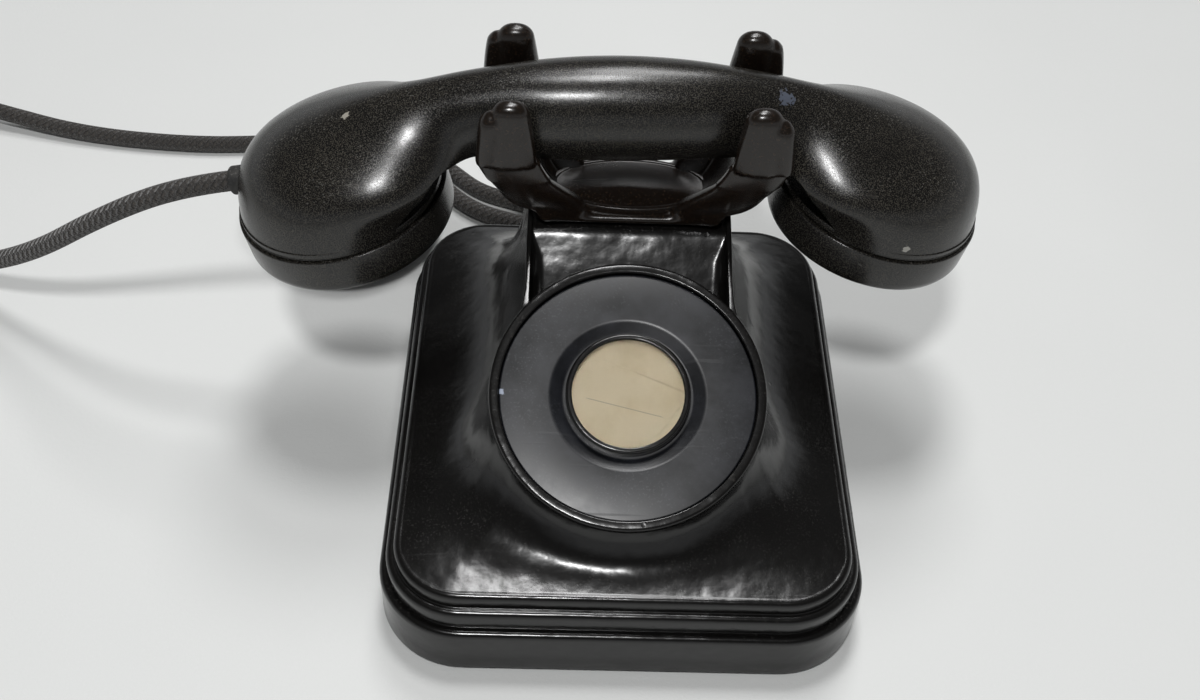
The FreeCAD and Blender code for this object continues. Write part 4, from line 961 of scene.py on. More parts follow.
def hole_cutters(tree, rows, finish, centre, up):
    """One mesh with the cutters of every ring, stood at a cap's face."""
    work = bmesh.new()
    for count, radius in rows:
        host = add_object("cutters", bpy.data.meshes.new("cutters"))
        modifier = host.modifiers.new("ring of holes", "NODES")
        modifier.node_group = tree
        sockets = {item.name: item.identifier for item in tree.interface.items_tree if item.in_out == "INPUT"}
        modifier[sockets["Holes"]] = count
        modifier[sockets["Ring Radius"]] = radius / 1000
        modifier[sockets["Hole Radius"]] = hole_radius / 1000
        modifier[sockets["Material"]] = finish
        ring = bpy.data.meshes.new_from_object(host.evaluated_get(bpy.context.evaluated_depsgraph_get()))
        work.from_mesh(ring)
        bpy.data.objects.remove(host)
    bmesh.ops.remove_doubles(work, verts=work.verts, dist=1e-7)
    mesh = bpy.data.meshes.new("cutters")
    work.to_mesh(mesh)
    work.free()
    direction = Vector(laid_direction(up))
    turn = direction.to_track_quat("Z", "X").to_matrix().to_4x4()
    mesh.transform(Matrix.Translation(placed(laid_askew(centre))) @ turn)
    return mesh


def cap(name, node, centre, up, rows, dish, finish, tree):
    """Screwed cap with a dished face and rings of holes, given as (holes, radius)."""
    top = cap_height - joint_groove
    shoulder = cap_height - cap_thread_height
    profile = [(0, dish, 0), (20.0, dish, 1.5), (24.0, 0.0, 1.5), (cap_radius - 1.2, 0.0, 1.1),
               (cap_radius, 2.4, 1.1), (cap_radius, top, 0.5), (cap_bore, top, 0.2), (cap_bore, shoulder, 0),
               (capsule_seat_radius, shoulder, 0), (capsule_seat_radius, cap_face, 0), (0, cap_face, 0)]
    points, faces = turned(profile, centre - cap_height * up, up, 200)
    obj = add_object(name, to_mesh(name, (laid_askew(points), faces)))
    cutters = add_object("cutters", hole_cutters(tree, rows, finish, centre - (cap_height - 1) * up, up))
    drill = obj.modifiers.new("holes", "BOOLEAN")
    drill.operation = "DIFFERENCE"
    drill.solver = "EXACT"
    drill.object = cutters
    mesh = bpy.data.meshes.new_from_object(obj.evaluated_get(bpy.context.evaluated_depsgraph_get()))
    bpy.data.objects.remove(obj)
    bpy.data.objects.remove(cutters)
    mesh.shade_smooth()
    mesh.set_sharp_from_angle(angle=math.radians(40))
    return piece(name, mesh, finish, "handset", node)


def caps(finish):
    tree = perforation_tree()
    left, right = head_ends()
    cap("ear_cap_moulding", "ear_cap", *right, ear_hole_rings, 1.4, finish, tree)
    cap("mouth_cap_moulding", "mouth_cap", *left, mouth_hole_rings, 0.8, finish, tree)


def cord_port():
    """Start and direction of the cord's hole, outwards through the end of the left head."""
    outward = math.cos(cord_port_turn) * head_outward * (-1, 1, 1)
    outward = outward + math.sin(cord_port_turn) * np.array([0, 1, 0])
    return head_centre * (-1, 1, 1) + cord_port_up * head_axis * (-1, 1, 1), outward


def cord_bush(finish):
    """Rubber sleeve that the cord leaves the handset through."""
    start, outward = cord_port()
    profile = [(0, port_rim - 14, 0), (4.55, port_rim - 14, 0.2), (4.55, port_rim + 2, 0.6),
               (4.1, port_rim + bush_reach, 0.5), (0, port_rim + bush_reach, 0)]
    points, faces = turned(profile, start, outward, 48)
    return piece("handset_cord_sleeve", (laid_askew(points), faces), finish, "handset", "handset_cord_bush")


# Cords

def coil_points(place, outer_radius, turns, way):
    """Coil of two layers that starts towards -X: inwards on the table, up, and outwards again on top."""
    turn_steps = 24
    climb = turn_steps / 2
    last = round(turns * turn_steps)
    lead = 2 * cord_radius
    points = [(place[0] + lead, place[1] + way * outer_radius, table_z)]
    for step in range(last + 1):
        rise = min(max(step - (last - climb) / 2, 0), climb) / climb
        radius = outer_radius - coil_step * min(step, last - step) / turn_steps
        angle = way * (math.pi / 2 + 2 * math.pi * step / turn_steps)
        points.append((place[0] + radius * math.cos(angle), place[1] + radius * math.sin(angle),
                       table_z + coil_step * rise * rise * (3 - 2 * rise)))
    x, y, z = points[-1]
    return points + [(x - way * lead * math.sin(angle), y + way * lead * math.cos(angle), z)]


def handset_cord_points():
    """Control points from the bush down to the coil, and from there round it and back to the housing."""
    start, outward = cord_port()
    lead = [tuple(laid_askew(start + (port_rim + reach) * outward)) for reach in (bush_reach, 20.0)]
    coil = coil_points(handset_coil_place, handset_coil_radius, handset_coil_turns, -1)
    (first_x, first_y, _), (last_x, last_y, last_z) = coil[0], coil[-1]
    hang = [(-168, 40, 66), (-204, 52, 35), (-241, 70, 11), (-263, 82, 4.5), (first_x + 14, first_y, table_z)]
    back = [(last_x + 14, last_y, last_z), (-254, 167, 6), (-218, 157.5, table_z), (-174, 153, table_z),
            (-140, 155.5, table_z), (-115, 160.5, table_z), (-95, 159, table_z), (-79, 152.5, table_z),
            (-67, 141.5, table_z), (-55, 129, table_z), (-40, 123.5, table_z), (-25, 118, 4),
            (-14.5, 107.5, 7.2), (-12, 94, cord_exit_z), (-12, 79, cord_exit_z)]
    return lead + hang, coil + back


def line_cord_points():
    """Control points from the housing to the coil, round it and up to the plug that lies on top."""
    middle = np.array([*line_coil_place, table_z + coil_step])
    coil = coil_points(middle[:2], line_coil_radius, line_coil_turns, 1)
    table = [(-26, 79, cord_exit_z), (-26, 92.5, cord_exit_z), (-32, 104.8, 7.2), (-43, 111.5, 4.2),
             (-55.5, 117.5, table_z), (-66, 127, table_z), (-74, 138, table_z), (-85.5, coil[0][1], table_z)]
    plug_rise = cord_radius + 9.2
    tail = [(-20.9, line_coil_radius, 0), (-32.6, 26.2, 2.5), (-37.0, 12.5, 6.0), (-32.6, -1.2, 9.5),
            (-20.9, -9.7, plug_rise), (-6.5, -9.7, plug_rise)]
    return table + coil + [tuple(middle + point) for point in tail]


def route_line(points):
    """Points along the smooth curve that control points give, in metres."""
    curve = bpy.data.curves.new("route", "CURVE")
    curve.dimensions = "3D"
    line = curve.splines.new("NURBS")
    line.points.add(len(points) - 1)
    line.points.foreach_set("co", np.hstack([placed(points), np.ones((len(points), 1))]).ravel())
    line.order_u = 3
    line.use_endpoint_u = True
    line.resolution_u = 10
    route = add_object("route", curve)
    mesh = bpy.data.meshes.new_from_object(route.evaluated_get(bpy.context.evaluated_depsgraph_get()))
    path = np.array([vertex.co for vertex in mesh.vertices])
    bpy.data.objects.remove(route)
    return path


def evenly(path, spacing):
    """The same path in equal steps."""
    run = np.concatenate([[0], np.cumsum(np.linalg.norm(np.diff(path, axis=0), axis=1))])
    count = max(8, round(run[-1] / spacing))
    wanted = np.linspace(0, run[-1], count + 1)
    return np.stack([np.interp(wanted, run, path[:, axis]) for axis in range(3)], axis=-1), wanted


def braided_tube(name, path, start_run, sides=20, spacing=0.0009):
    """Round cord along a path, with a map that runs round it and along it in cord widths."""
    path, run = evenly(path, spacing)
    along = np.gradient(path, axis=0)
    along /= np.linalg.norm(along, axis=1, keepdims=True)
    side = np.cross(along[0], (0, 0, 1))
    if np.linalg.norm(side) < 0.1:
        side = np.cross(along[0], (1, 0, 0))
    angles = np.linspace(0, 2 * math.pi, sides, endpoint=False)[:, None]
    rows = []
    for point, forward in zip(path, along):
        side = side - forward * (side @ forward)
        side /= np.linalg.norm(side)
        spokes = np.cos(angles) * side + np.sin(angles) * np.cross(forward, side)
        rows.append(point + cord_radius / 1000 * spokes)
    count = len(rows)
    points, faces = sheet_through(rows)
    mesh = bpy.data.meshes.new(name)
    end_faces = [list(range(sides)), list(range((count - 1) * sides, count * sides))[::-1]]
    mesh.from_pydata(points.tolist(), [], faces[:, ::-1].tolist() + end_faces)
    round_cord = 2 * math.pi * cord_radius / 1000
    row, column = np.divmod(np.arange((count - 1) * sides), sides)
    length = (start_run + run) / round_cord
    u0, u1 = column / sides, (column + 1) / sides
    v0, v1 = length[row], length[row + 1]
    corner_u = np.stack([u0, u0, u1, u1], axis=1)
    corner_v = np.stack([v0, v1, v1, v0], axis=1)
    corners = np.stack([corner_u[:, [3, 2, 1, 0]], corner_v[:, [3, 2, 1, 0]]], axis=-1).reshape(-1, 2)
    layer = mesh.uv_layers.new(name="UVMap")
    layer.uv.foreach_set("vector", np.concatenate([corners, np.zeros((2 * sides, 2))]).ravel())
    mesh.shade_smooth()
    return mesh, path, run[-1]


def cord_piece(name, path, start_run, finish, nodes, **facts):
    """One stretch of cord, with facts that are not used; start_run is where its braid goes on from."""
    mesh, line, length = braided_tube(name, path, start_run)
    mesh.materials.append(finish)
    obj = add_object(name, mesh)
    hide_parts(*nodes)
    return obj, line, length


def cords(finish):
    """Handset cord in three stretches, of which the coiled one rides on the base, and the line cord."""
    hanging, lying = handset_cord_points()
    whole = route_line(hanging + lying)
    run = np.concatenate([[0], np.cumsum(np.linalg.norm(np.diff(whole, axis=0), axis=1))])
    near_coil = int(np.argmin(np.linalg.norm(whole - placed(lying[0]), axis=1)))
    touchdown = int(np.argmin(np.linalg.norm(whole - placed(cord_touchdown), axis=1)))
    coil_nodes = ("handset_cord_coil", "handset_cord_return")
    stretches = (("handset_cord_hanging", 0, touchdown, ("handset_cord",)),
                 ("handset_cord_landing", touchdown, near_coil, ()),
                 ("handset_cord_coiled", near_coil, len(whole) - 1, coil_nodes))
    laid = []
    for name, first, last, nodes in stretches:
        lay = "coiled" if first == near_coil else "hanging"
        path = whole[first:last + 1]
        laid.append(cord_piece(name, path, run[first], finish, nodes, far_end="object", lay=lay))
    hanging_obj, landing_obj, coiled_obj = [entry[0] for entry in laid]
    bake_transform(hanging_obj)
    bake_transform(landing_obj)
    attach(coiled_obj, "base")
    line = route_line(line_cord_points())
    line_obj, _, _ = cord_piece("line_cord_coiled", line, 0.0, finish, ("line_cord", "line_cord_coil"),
                                far_end="plug", lay="coiled", with_pieces=[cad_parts["line_plug"]])
    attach(line_obj, "base")


# Finishes

def colour(value, green=None, blue=None):
    """A colour with full alpha; one number alone is a grey."""
    return (value, value, value, 1.0) if green is None else (value, green, blue, 1.0)


def new_group(name, inputs, outputs):
    """Shader group with its named inputs and outputs, and the means to wire it."""
    tree = bpy.data.node_groups.new(name, "ShaderNodeTree")
    for socket, kind, default in inputs:
        made = tree.interface.new_socket(socket, in_out="INPUT", socket_type=kind)
        if default is not None:
            made.default_value = default
    for socket, kind in outputs:
        tree.interface.new_socket(socket, in_out="OUTPUT", socket_type=kind)
    wiring = Wiring(tree)
    return tree, wiring, wiring.node("NodeGroupInput"), wiring.node("NodeGroupOutput")


def filler_specks():
    """Wood-flour specks, pits and slow mottling of moulded phenolic."""
    tree, wiring, given, result = new_group(
        "filler specks", [("Vector", "NodeSocketVector", None), ("Speck Scale", "NodeSocketFloat", 900.0),
                          ("Coverage", "NodeSocketFloat", 0.3)],
        [("Specks", "NodeSocketFloat"), ("Pits", "NodeSocketFloat"), ("Mottle", "NodeSocketFloat")])
    vector = given.outputs["Vector"]
    fine = wiring.noise(vector, given.outputs["Speck Scale"], 2.0, 0.6)
    low = wiring.math("SUBTRACT", 0.72, wiring.math("MULTIPLY", given.outputs["Coverage"], 0.3))
    specks = wiring.ramp(fine, low, wiring.math("ADD", low, 0.1))
    cells = wiring.node("ShaderNodeTexVoronoi", {"Vector": vector, "Scale": 260.0, "Randomness": 1.0})
    chance = wiring.node("ShaderNodeSeparateColor", {"Color": cells.outputs["Color"]}).outputs[0]
    picked = wiring.ramp(chance, 0.965, 0.975)
    pits = wiring.math("MULTIPLY", picked, wiring.ramp(cells.outputs["Distance"], 0.22, 0.08))
    wiring.give(result.inputs["Specks"], specks)
    wiring.give(result.inputs["Pits"], pits)
    wiring.give(result.inputs["Mottle"], wiring.noise(vector, 35.0, 4.0, 0.6))
    return tree


def fine_scratches():
    """Hairlines in three directions."""
    tree, wiring, given, result = new_group(
        "fine scratches", [("Vector", "NodeSocketVector", None), ("Density", "NodeSocketFloat", 0.5)],
        [("Lines", "NodeSocketFloat")])
    total = 0.0
    for turn, length in ((0.4, 14.0), (1.7, 9.0), (2.6, 20.0)):
        stretched = wiring.mapped(given.outputs["Vector"], rotation=(0.3 * turn, 0.2, turn),
                                  scale=(length, 500.0, length))
        lines = wiring.ramp(wiring.noise(stretched, 1.0, 1.0, 0.4), 0.70, 0.76)
        patches = wiring.ramp(wiring.noise(given.outputs["Vector"], 30.0 + 10 * turn, 1.0), 0.5, 0.62)
        total = wiring.math("ADD", total, wiring.math("MULTIPLY", lines, patches))
    wiring.give(result.inputs["Lines"], wiring.math("MULTIPLY", total, given.outputs["Density"], clamp=True))
    return tree


def settled_dust():
    """Dust on what faces up, thicker in patches."""
    tree, wiring, given, result = new_group(
        "settled dust", [("Vector", "NodeSocketVector", None), ("Amount", "NodeSocketFloat", 0.3)],
        [("Dust", "NodeSocketFloat")])
    normal = wiring.node("ShaderNodeNewGeometry").outputs["Normal"]
    upward = wiring.ramp(wiring.node("ShaderNodeSeparateXYZ", {"Vector": normal}).outputs["Z"], 0.2, 1.0)
    grains = wiring.ramp(wiring.noise(given.outputs["Vector"], 1500.0, 1.0), 0.55, 0.75)
    drifts = wiring.ramp(wiring.noise(given.outputs["Vector"], 60.0, 3.0), 0.35, 0.7)
    total = wiring.math("MULTIPLY", wiring.math("MULTIPLY", upward, grains), drifts)
    wiring.give(result.inputs["Dust"], wiring.math("MULTIPLY", total, given.outputs["Amount"], clamp=True))
    return tree


def worn_edges():
    """Rubbed outer edges, broken up along their length."""
    tree, wiring, given, result = new_group(
        "worn edges", [("Vector", "NodeSocketVector", None), ("Amount", "NodeSocketFloat", 0.5)],
        [("Wear", "NodeSocketFloat")])
    sharp = wiring.node("ShaderNodeNewGeometry").outputs["Pointiness"]
    edge = wiring.ramp(sharp, 0.53, 0.60)
    broken = wiring.ramp(wiring.noise(given.outputs["Vector"], 220.0, 3.0, 0.7), 0.4, 0.7)
    wear = wiring.math("MULTIPLY", edge, broken)
    wiring.give(result.inputs["Wear"], wiring.math("MULTIPLY", wear, given.outputs["Amount"], clamp=True))
    return tree


def worn_mark():
    """A ragged spot at one place, where the surface is chipped or rubbed."""
    tree, wiring, given, result = new_group(
        "worn mark", [("Vector", "NodeSocketVector", None), ("Place", "NodeSocketVector", None),
                      ("Size", "NodeSocketFloat", 0.002)], [("Mark", "NodeSocketFloat")])
    apart = wiring.node("ShaderNodeVectorMath", {0: given.outputs["Vector"], 1: given.outputs["Place"]},
                        operation="DISTANCE").outputs["Value"]
    ragged = wiring.math("MULTIPLY_ADD", wiring.noise(given.outputs["Vector"], 900.0, 2.0), 1.4, -0.2)
    share = wiring.math("DIVIDE", apart, wiring.math("MULTIPLY", given.outputs["Size"], ragged))
    wiring.give(result.inputs["Mark"], wiring.ramp(share, 1.0, 0.7))
    return tree


def over_under_braid():
    """Strands that cross over and under each other round a cord, and painted shade between and under them."""
    tree, wiring, given, result = new_group(
        "over and under braid with painted shade", [("Map", "NodeSocketVector", None), ("Strands", "NodeSocketFloat", 8.0)],
        [("Height", "NodeSocketFloat"), ("Shade", "NodeSocketFloat")])
    parts = wiring.node("ShaderNodeSeparateXYZ", {"Vector": given.outputs["Map"]})
    around = wiring.math("MULTIPLY", parts.outputs["X"], given.outputs["Strands"])
    along = wiring.math("MULTIPLY", parts.outputs["Y"], given.outputs["Strands"])
    strands = []
    cells = 0.0
    for sign in (1.0, -1.0):
        place = wiring.math("ADD", around, wiring.math("MULTIPLY", along, sign))
        profile = wiring.math("SINE", wiring.math("MULTIPLY", wiring.math("FRACT", place), math.pi))
        strands.append(profile)
        cells = wiring.math("ADD", cells, wiring.math("FLOOR", place))
    even = wiring.math("PINGPONG", wiring.math("MULTIPLY", cells, 0.5), 0.5)
    over = wiring.math("GREATER_THAN", even, 0.25)
    first = wiring.math("MULTIPLY", strands[0], over)
    second = wiring.math("MULTIPLY", strands[1], wiring.math("SUBTRACT", 1.0, over))
    height = wiring.math("ADD", first, second)
    # Painted shade: the strand that goes under gets a darker tone, and Shade falls to nothing in the grooves.
    tone = wiring.math("MULTIPLY_ADD", over, 0.3, 0.7)
    wiring.give(result.inputs["Height"], height)
    wiring.give(result.inputs["Shade"], wiring.math("MULTIPLY", height, tone))
    return tree


class Finish:
    """A material with its shader, read in the piece's own metres."""

    def __init__(self, name, **sockets):
        self.material = bpy.data.materials.new(name)
        self.material.use_nodes = True
        self.wiring = Wiring(self.material.node_tree)
        self.shader = self.material.node_tree.nodes["Principled BSDF"]
        self.place = self.wiring.node("ShaderNodeTexCoord").outputs["Object"]
        for key, value in sockets.items():
            self.shader.inputs[key.replace("_", " ")].default_value = value

    def feed(self, socket, value):
        self.wiring.give(self.shader.inputs[socket], value)

    def effect(self, tree, vector="Vector", place=None, **amounts):
        """Outputs of a shared effect, laid on the piece's own place unless another map is given."""
        made = self.wiring.node("ShaderNodeGroup", node_tree=tree)
        self.wiring.give(made.inputs[vector], place or self.place)
        for key, value in amounts.items():
            self.wiring.give(made.inputs[key.replace("_", " ")], value)
        return made.outputs

    def bump(self, height, distance, strength=1.0, below=None):
        inputs = {"Height": height, "Distance": distance, "Strength": strength}
        if below is not None:
            inputs["Normal"] = below
        return self.wiring.node("ShaderNodeBump", inputs).outputs["Normal"]


def phenolic(name, groups, base, speck_colour, speck_scale, coverage, roughness, dust, wave,
             wear=0.5, marks=()):
    """Moulded black phenolic: near-black body, filler specks, pits, hairlines, rubbed edges and dust."""
    finish = Finish(name, IOR=1.5)
    w = finish.wiring
    specks = finish.effect(groups["specks"], Speck_Scale=speck_scale, Coverage=coverage)
    lines = finish.effect(groups["scratches"], Density=0.35)["Lines"]
    worn = finish.effect(groups["wear"], Amount=wear)["Wear"]
    film = finish.effect(groups["dust"], Amount=dust)["Dust"]
    body = w.mix(w.math("MULTIPLY", specks["Specks"], specks["Mottle"]), colour(*base), colour(*speck_colour))
    body = w.mix(w.math("MULTIPLY", worn, 0.5), body, colour(0.075, 0.065, 0.055))
    body = w.mix(film, body, colour(0.30, 0.29, 0.27))
    rough = w.math("MULTIPLY_ADD", specks["Mottle"], 0.16, roughness - 0.08)
    for place, size, tone in marks:
        mark = finish.effect(groups["mark"], Place=place, Size=size)["Mark"]
        body = w.mix(mark, body, colour(*tone))
        rough = w.math("ADD", rough, w.math("MULTIPLY", mark, 0.3))
    finish.feed("Base Color", body)
    rough = w.math("ADD", rough, w.math("MULTIPLY", lines, 0.18))
    rough = w.math("ADD", rough, w.math("MULTIPLY", worn, 0.2))
    finish.feed("Roughness", w.math("ADD", rough, w.math("MULTIPLY", film, 0.4), clamp=True))
    normal = finish.bump(w.noise(finish.place, 45.0, 3.0, 0.45), wave)
    normal = finish.bump(w.noise(finish.place, 260.0, 2.0, 0.5), wave / 14, 1.0, normal)
    height = w.math("ADD", w.math("MULTIPLY", specks["Pits"], -1.0), w.math("MULTIPLY", lines, -0.35))
    height = w.math("ADD", height, w.math("MULTIPLY", specks["Specks"], 0.12))
    finish.feed("Normal", finish.bump(height, 0.00006, 0.8, normal))
    return finish.material


def blank_lacquer(groups):
    """Satin black plate with a cool sheen and fine rubbing."""
    finish = Finish("blank satin black")
    w = finish.wiring
    place, size, tone = blank_mark
    lines = finish.effect(groups["scratches"], Density=0.3)["Lines"]
    film = finish.effect(groups["dust"], Amount=0.08)["Dust"]
    clouds = w.noise(finish.place, 90.0, 5.0, 0.65)
    body = w.mix(w.ramp(clouds, 0.35, 0.7), colour(0.004, 0.0045, 0.006), colour(0.009, 0.010, 0.014))
    mark = finish.effect(groups["mark"], Place=place, Size=size)["Mark"]
    body = w.mix(film, body, colour(0.30, 0.32, 0.34))
    finish.feed("Base Color", w.mix(mark, body, colour(*tone)))
    rough = w.math("MULTIPLY_ADD", clouds, 0.20, 0.24)
    finish.feed("Roughness", w.math("ADD", rough, w.math("MULTIPLY", lines, 0.2), clamp=True))
    finish.feed("Normal", finish.bump(w.math("MULTIPLY", lines, -1.0), 0.00003, 0.6))
    return finish.material


def card_paper():
    """Cream card, stained in places, with one dotted rule across it."""
    finish = Finish("cream card", Roughness=0.8)
    w = finish.wiring
    centred = w.mapped(finish.place, location=tuple(-placed(at_dial(0, 0, well_floor))))
    level = w.mapped(centred, rotation=(-dial_tilt, 0, rule_turn))
    parts = w.node("ShaderNodeSeparateXYZ", {"Vector": level})
    from_rule = w.math("ABSOLUTE", w.math("SUBTRACT", parts.outputs["Y"], rule_up / 1000))
    along = w.math("FRACT", w.math("DIVIDE", parts.outputs["X"], dot_spacing / 1000))
    from_dot = w.math("MULTIPLY", w.math("ABSOLUTE", w.math("SUBTRACT", along, 0.5)), dot_spacing / 1000)
    inside = w.math("LESS_THAN", w.math("ABSOLUTE", parts.outputs["X"]), rule_half_length / 1000)
    dots = w.math("MULTIPLY", w.ramp(from_rule, 0.00017, 0.00009), w.ramp(from_dot, 0.00023, 0.00013))
    ink = w.math("MULTIPLY", w.math("MULTIPLY", dots, inside), 0.75)
    fibres = w.noise(centred, 900.0, 3.0, 0.6)
    stains = w.noise(centred, 110.0, 4.0, 0.55)
    paper = w.mix(w.ramp(stains, 0.4, 0.8), colour(0.87, 0.77, 0.61), colour(0.80, 0.69, 0.51))
    paper = w.mix(w.math("MULTIPLY", fibres, 0.2), paper, colour(0.50, 0.41, 0.28))
    finish.feed("Base Color", w.mix(ink, paper, colour(0.10, 0.085, 0.07)))
    finish.feed("Normal", finish.bump(w.noise(centred, 500.0, 2.0, 0.5), 0.00002))
    return finish.material


def clear_window():
    """Thin clear sheet, slightly yellowed."""
    finish = Finish("clear window", Transmission_Weight=1.0, IOR=1.2)
    w = finish.wiring
    clouds = w.noise(finish.place, 60.0)
    finish.feed("Base Color", w.mix(clouds, colour(0.97, 0.96, 0.92), colour(0.93, 0.91, 0.85)))
    finish.feed("Roughness", w.math("MULTIPLY_ADD", w.noise(finish.place, 400.0), 0.06, 0.0))
    return finish.material


def cord_braid(groups):
    """Dark braided textile with paler lint, and painted shade in the grooves and under strands."""
    finish = Finish("textile braid with painted shade", Sheen_Weight=0.25)
    w = finish.wiring
    around = w.node("ShaderNodeUVMap", uv_map="UVMap").outputs["UV"]
    braid = finish.effect(groups["braid"], "Map", around, Strands=7.0)
    lint = w.ramp(w.noise(finish.place, 1600.0, 2.0), 0.55, 0.7)
    fade = w.noise(finish.place, 70.0, 3.0)
    thread = w.mix(fade, colour(0.020, 0.017, 0.014), colour(0.060, 0.052, 0.045))
    thread = w.mix(w.math("MULTIPLY", lint, 0.5), thread, colour(0.16, 0.145, 0.13))
    # Painted shade: the braid's Shade mask takes the colour to near black between strands and darker on under
    # strands.
    finish.feed("Base Color", w.mix(braid["Shade"], colour(0.006, 0.005, 0.005), thread))
    finish.feed("Roughness", w.math("MULTIPLY_ADD", fade, 0.2, 0.7))
    twist = w.math("ADD", braid["Height"], w.math("MULTIPLY", w.noise(finish.place, 2500.0, 2.0), 0.4))
    finish.feed("Normal", finish.bump(twist, 0.0006))
    return finish.material


def metal(name, tone, roughness):
    """Sheet or turned metal with a drawn grain and some tarnish."""
    finish = Finish(name, Metallic=1.0)
    w = finish.wiring
    lines = w.noise(w.mapped(finish.place, scale=(60.0, 900.0, 60.0)), 1.0, 3.0)
    tarnish = w.noise(finish.place, 140.0, 4.0, 0.6)
    dull = tuple(channel * 0.55 for channel in tone)
    finish.feed("Base Color", w.mix(w.ramp(tarnish, 0.45, 0.75), colour(*tone), colour(*dull)))
    finish.feed("Roughness", w.math("MULTIPLY_ADD", tarnish, 0.25, roughness - 0.1))
    finish.feed("Normal", finish.bump(lines, 0.00003, 0.4))
    return finish.material


def matt(name, groups, tone, second, roughness, scale, depth):
    """Rubber, board or wound wire: two tones in a fine grain."""
    finish = Finish(name)
    w = finish.wiring
    film = finish.effect(groups["dust"], Amount=0.3)["Dust"]
    grain = w.noise(finish.place, scale, 3.0, 0.6)
    body = w.mix(w.ramp(grain, 0.35, 0.65), colour(*tone), colour(*second))
    finish.feed("Base Color", w.mix(film, body, colour(0.3, 0.29, 0.27)))
    finish.feed("Roughness", w.math("MULTIPLY_ADD", grain, 0.15, roughness))
    finish.feed("Normal", finish.bump(grain, depth, 0.6))
    return finish.material


# Marks seen on the photographed one: place in the frame's metres, size and colour
handset_marks = (((-0.0790, 0.0307, 0.1153), 0.0026, (0.30, 0.28, 0.24)),
                 ((0.0899, 0.0097, 0.0877), 0.0022, (0.34, 0.33, 0.30)),
                 ((0.0509, 0.0345, 0.1237), 0.0050, (0.055, 0.065, 0.090)))
blank_mark = ((-0.0312, -0.0289, 0.0614), 0.0022, (0.32, 0.36, 0.45))


def housing_phenolic(groups):
    return phenolic("housing phenolic", groups, base=(0.0045, 0.0042, 0.0040),
                    speck_colour=(0.020, 0.018, 0.015), speck_scale=1800.0, coverage=0.2,
                    roughness=0.20, dust=0.06, wave=0.0009)


def cradle_phenolic(groups):
    return phenolic("cradle phenolic", groups, base=(0.0090, 0.0060, 0.0042),
                    speck_colour=(0.045, 0.027, 0.016), speck_scale=1400.0, coverage=0.5,
                    roughness=0.24, dust=0.08, wave=0.0003)


def handset_phenolic(groups):
    return phenolic("handset phenolic", groups, base=(0.0050, 0.0047, 0.0044),
                    speck_colour=(0.070, 0.063, 0.050), speck_scale=3000.0, coverage=0.75,
                    roughness=0.22, dust=0.2, wave=0.0003, wear=0.4, marks=handset_marks)


def rubber(groups):
    return matt("black rubber", groups, tone=(0.012, 0.012, 0.012), second=(0.03, 0.029, 0.027),
                roughness=0.6, scale=400.0, depth=0.0001)


def laminate(groups):
    return matt("brown laminate", groups, tone=(0.10, 0.045, 0.018), second=(0.16, 0.08, 0.035),
                roughness=0.45, scale=250.0, depth=0.00005)


def wound_wire(groups):
    return matt("enamelled wire", groups, tone=(0.10, 0.012, 0.008), second=(0.22, 0.05, 0.02),
                roughness=0.35, scale=1800.0, depth=0.0002)


def painted_can(groups):
    return matt("painted can", groups, tone=(0.07, 0.09, 0.08), second=(0.11, 0.13, 0.12),
                roughness=0.4, scale=300.0, depth=0.00003)


def make_finishes():
    groups = {"specks": filler_specks(), "scratches": fine_scratches(), "dust": settled_dust(),
              "wear": worn_edges(), "mark": worn_mark(), "braid": over_under_braid()}
    return {
        "housing": housing_phenolic(groups),
        "cradle": cradle_phenolic(groups),
        "handset": handset_phenolic(groups),
        "blank": blank_lacquer(groups),
        "card": card_paper(),
        "window": clear_window(),
        "braid": cord_braid(groups),
        "rubber": rubber(groups),
        "board": laminate(groups),
        "wire": wound_wire(groups),
        "can": painted_can(groups),
        "steel": metal("zinc plated steel", (0.55, 0.55, 0.53), 0.35),
        "spring": metal("spring steel", (0.42, 0.41, 0.40), 0.3),
        "brass": metal("turned brass", (0.72, 0.52, 0.22), 0.3),
        "silver": metal("nickel silver", (0.66, 0.63, 0.56), 0.28),
        "magnet": metal("magnet iron", (0.22, 0.21, 0.20), 0.5),
    }


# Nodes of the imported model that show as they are, and what each is finished in
node_finishes = {
    "base_plate": "steel", "rubber_feet": "rubber", "base_screws": "steel", "clamp_screws": "steel",
    "cradle_stem": "steel", "stem_bush": "brass", "return_spring": "spring", "switch_frame": "steel",
    "switch_lever": "board", "lever_pin": "steel", "contact_springs": "silver", "contact_stack": "board",
    "gongs": "brass", "gong_posts": "steel", "gong_screws": "steel", "ringer_frame": "steel",
    "ringer_magnet": "magnet", "ringer_coils": "wire", "ringer_pivot_pin": "steel",
    "ringer_armature": "magnet", "clapper": "brass", "induction_coil": "wire", "condenser": "can",
    "condenser_strap": "steel", "terminal_strip": "board", "terminal_screws": "brass",
    "cord_grommets": "rubber", "receiver_capsule": "silver", "transmitter_capsule": "silver",
    "capsule_leaves": "silver", "line_plug": "cradle",
}


def dress_nodes(finishes):
    for name, finish in node_finishes.items():
        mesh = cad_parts[name].data
        mesh.materials.clear()
        mesh.materials.append(finishes[finish])


# Table, light and camera

def pale_table():
    """Pale cloth on a flat table, faintly clouded."""
    finish = Finish("pale table", Roughness=0.75)
    w = finish.wiring
    clouds = w.noise(finish.place, 6.0, 3.0)
    finish.feed("Base Color", w.mix(clouds, colour(0.74, 0.75, 0.74), colour(0.80, 0.81, 0.80)))
    finish.feed("Normal", finish.bump(w.noise(finish.place, 700.0, 3.0, 0.6), 0.0002, 0.5))
    half = 3.0
    corners = [(-half, -half, 0), (half, -half, 0), (half, half, 0), (-half, half, 0)]
    mesh = bpy.data.meshes.new("table")
    mesh.from_pydata(corners, [], [(0, 1, 2, 3)])
    mesh.materials.append(finish.material)
    table = add_object("table", mesh)


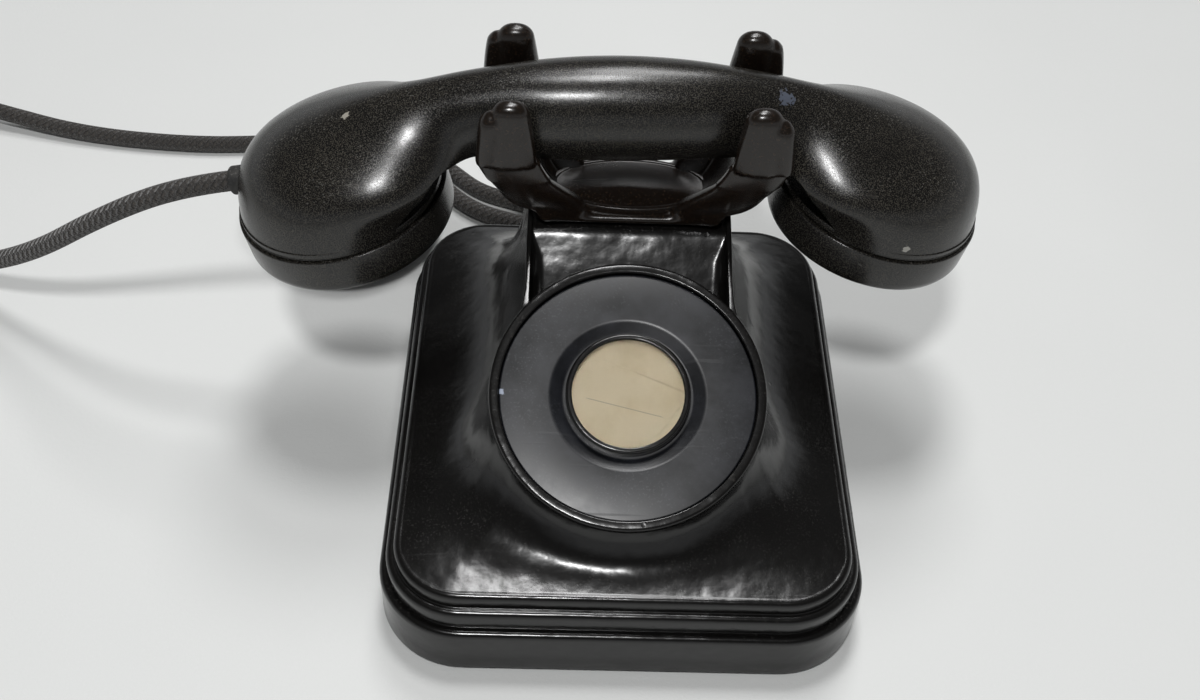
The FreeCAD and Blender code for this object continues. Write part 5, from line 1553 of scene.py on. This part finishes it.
def lamp(name, place, size, power):
    """Round white lamp that faces the middle of the telephone."""
    light = bpy.data.lights.new(name, "AREA")
    light.shape = "DISK"
    light.size = size
    light.energy = power
    obj = add_object(name, light)
    obj.location = place
    obj.rotation_mode = "QUATERNION"
    obj.rotation_quaternion = (Vector((0, 0, 0.05)) - Vector(place)).to_track_quat("-Z", "Y")


def lights():
    lamp("lamp by the camera", (-0.10, -0.52, 1.10), size=0.13, power=6.2)
    lamp("lamp overhead", (0.0, 0.34, 1.42), size=0.32, power=6.5)
    lamp("lamp behind", (0.12, 0.75, 1.25), size=0.45, power=5.4)


def room():
    """Pale room near the horizon, darker overhead."""
    world = bpy.context.scene.world or bpy.data.worlds.new("room")
    bpy.context.scene.world = world
    world.use_nodes = True
    w = Wiring(world.node_tree)
    background = world.node_tree.nodes["Background"]
    direction = w.node("ShaderNodeTexCoord").outputs["Generated"]
    height = w.node("ShaderNodeSeparateXYZ", {"Vector": direction}).outputs["Z"]
    tone = w.mix(w.ramp(height, 0.08, 0.45), colour(0.50, 0.51, 0.52), colour(0.07))
    w.give(background.inputs["Color"], tone)
    background.inputs["Strength"].default_value = 1.0


def camera():
    """Camera where the photograph was taken from, looking down and a little askew."""
    sine, cosine = math.sin(camera_yaw), math.cos(camera_yaw)
    flat = math.cos(camera_pitch)
    forward = Vector((sine * flat, cosine * flat, -math.sin(camera_pitch)))
    level = Vector((cosine, -sine, 0))
    upright = level.cross(forward)
    right = math.cos(camera_roll) * level + math.sin(camera_roll) * upright
    up = math.cos(camera_roll) * upright - math.sin(camera_roll) * level
    lens = bpy.data.cameras.new("camera")
    lens.sensor_width = sensor_width
    lens.lens = focal_pixels / picture_width_pixels * sensor_width
    lens.clip_start = 0.01
    obj = add_object("camera", lens)
    obj.matrix_world = Matrix((right, up, -forward)).transposed().to_4x4()
    obj.location = placed(camera_place)
    bpy.context.scene.camera = obj


def main():
    bpy.context.scene.view_settings.view_transform = "Standard"
    camera()
    finishes = make_finishes()
    cords(finishes["braid"])
    dress_nodes(finishes)
    housing(finishes["housing"])
    dial_blank(finishes["blank"])
    card_ring(finishes["housing"])
    number_card(finishes["card"])
    card_window(finishes["window"])
    cradle(finishes["cradle"])
    handset(finishes["handset"])
    caps(finishes["handset"])
    cord_bush(finishes["rubber"])
    pale_table()
    lights()
    room()


main()
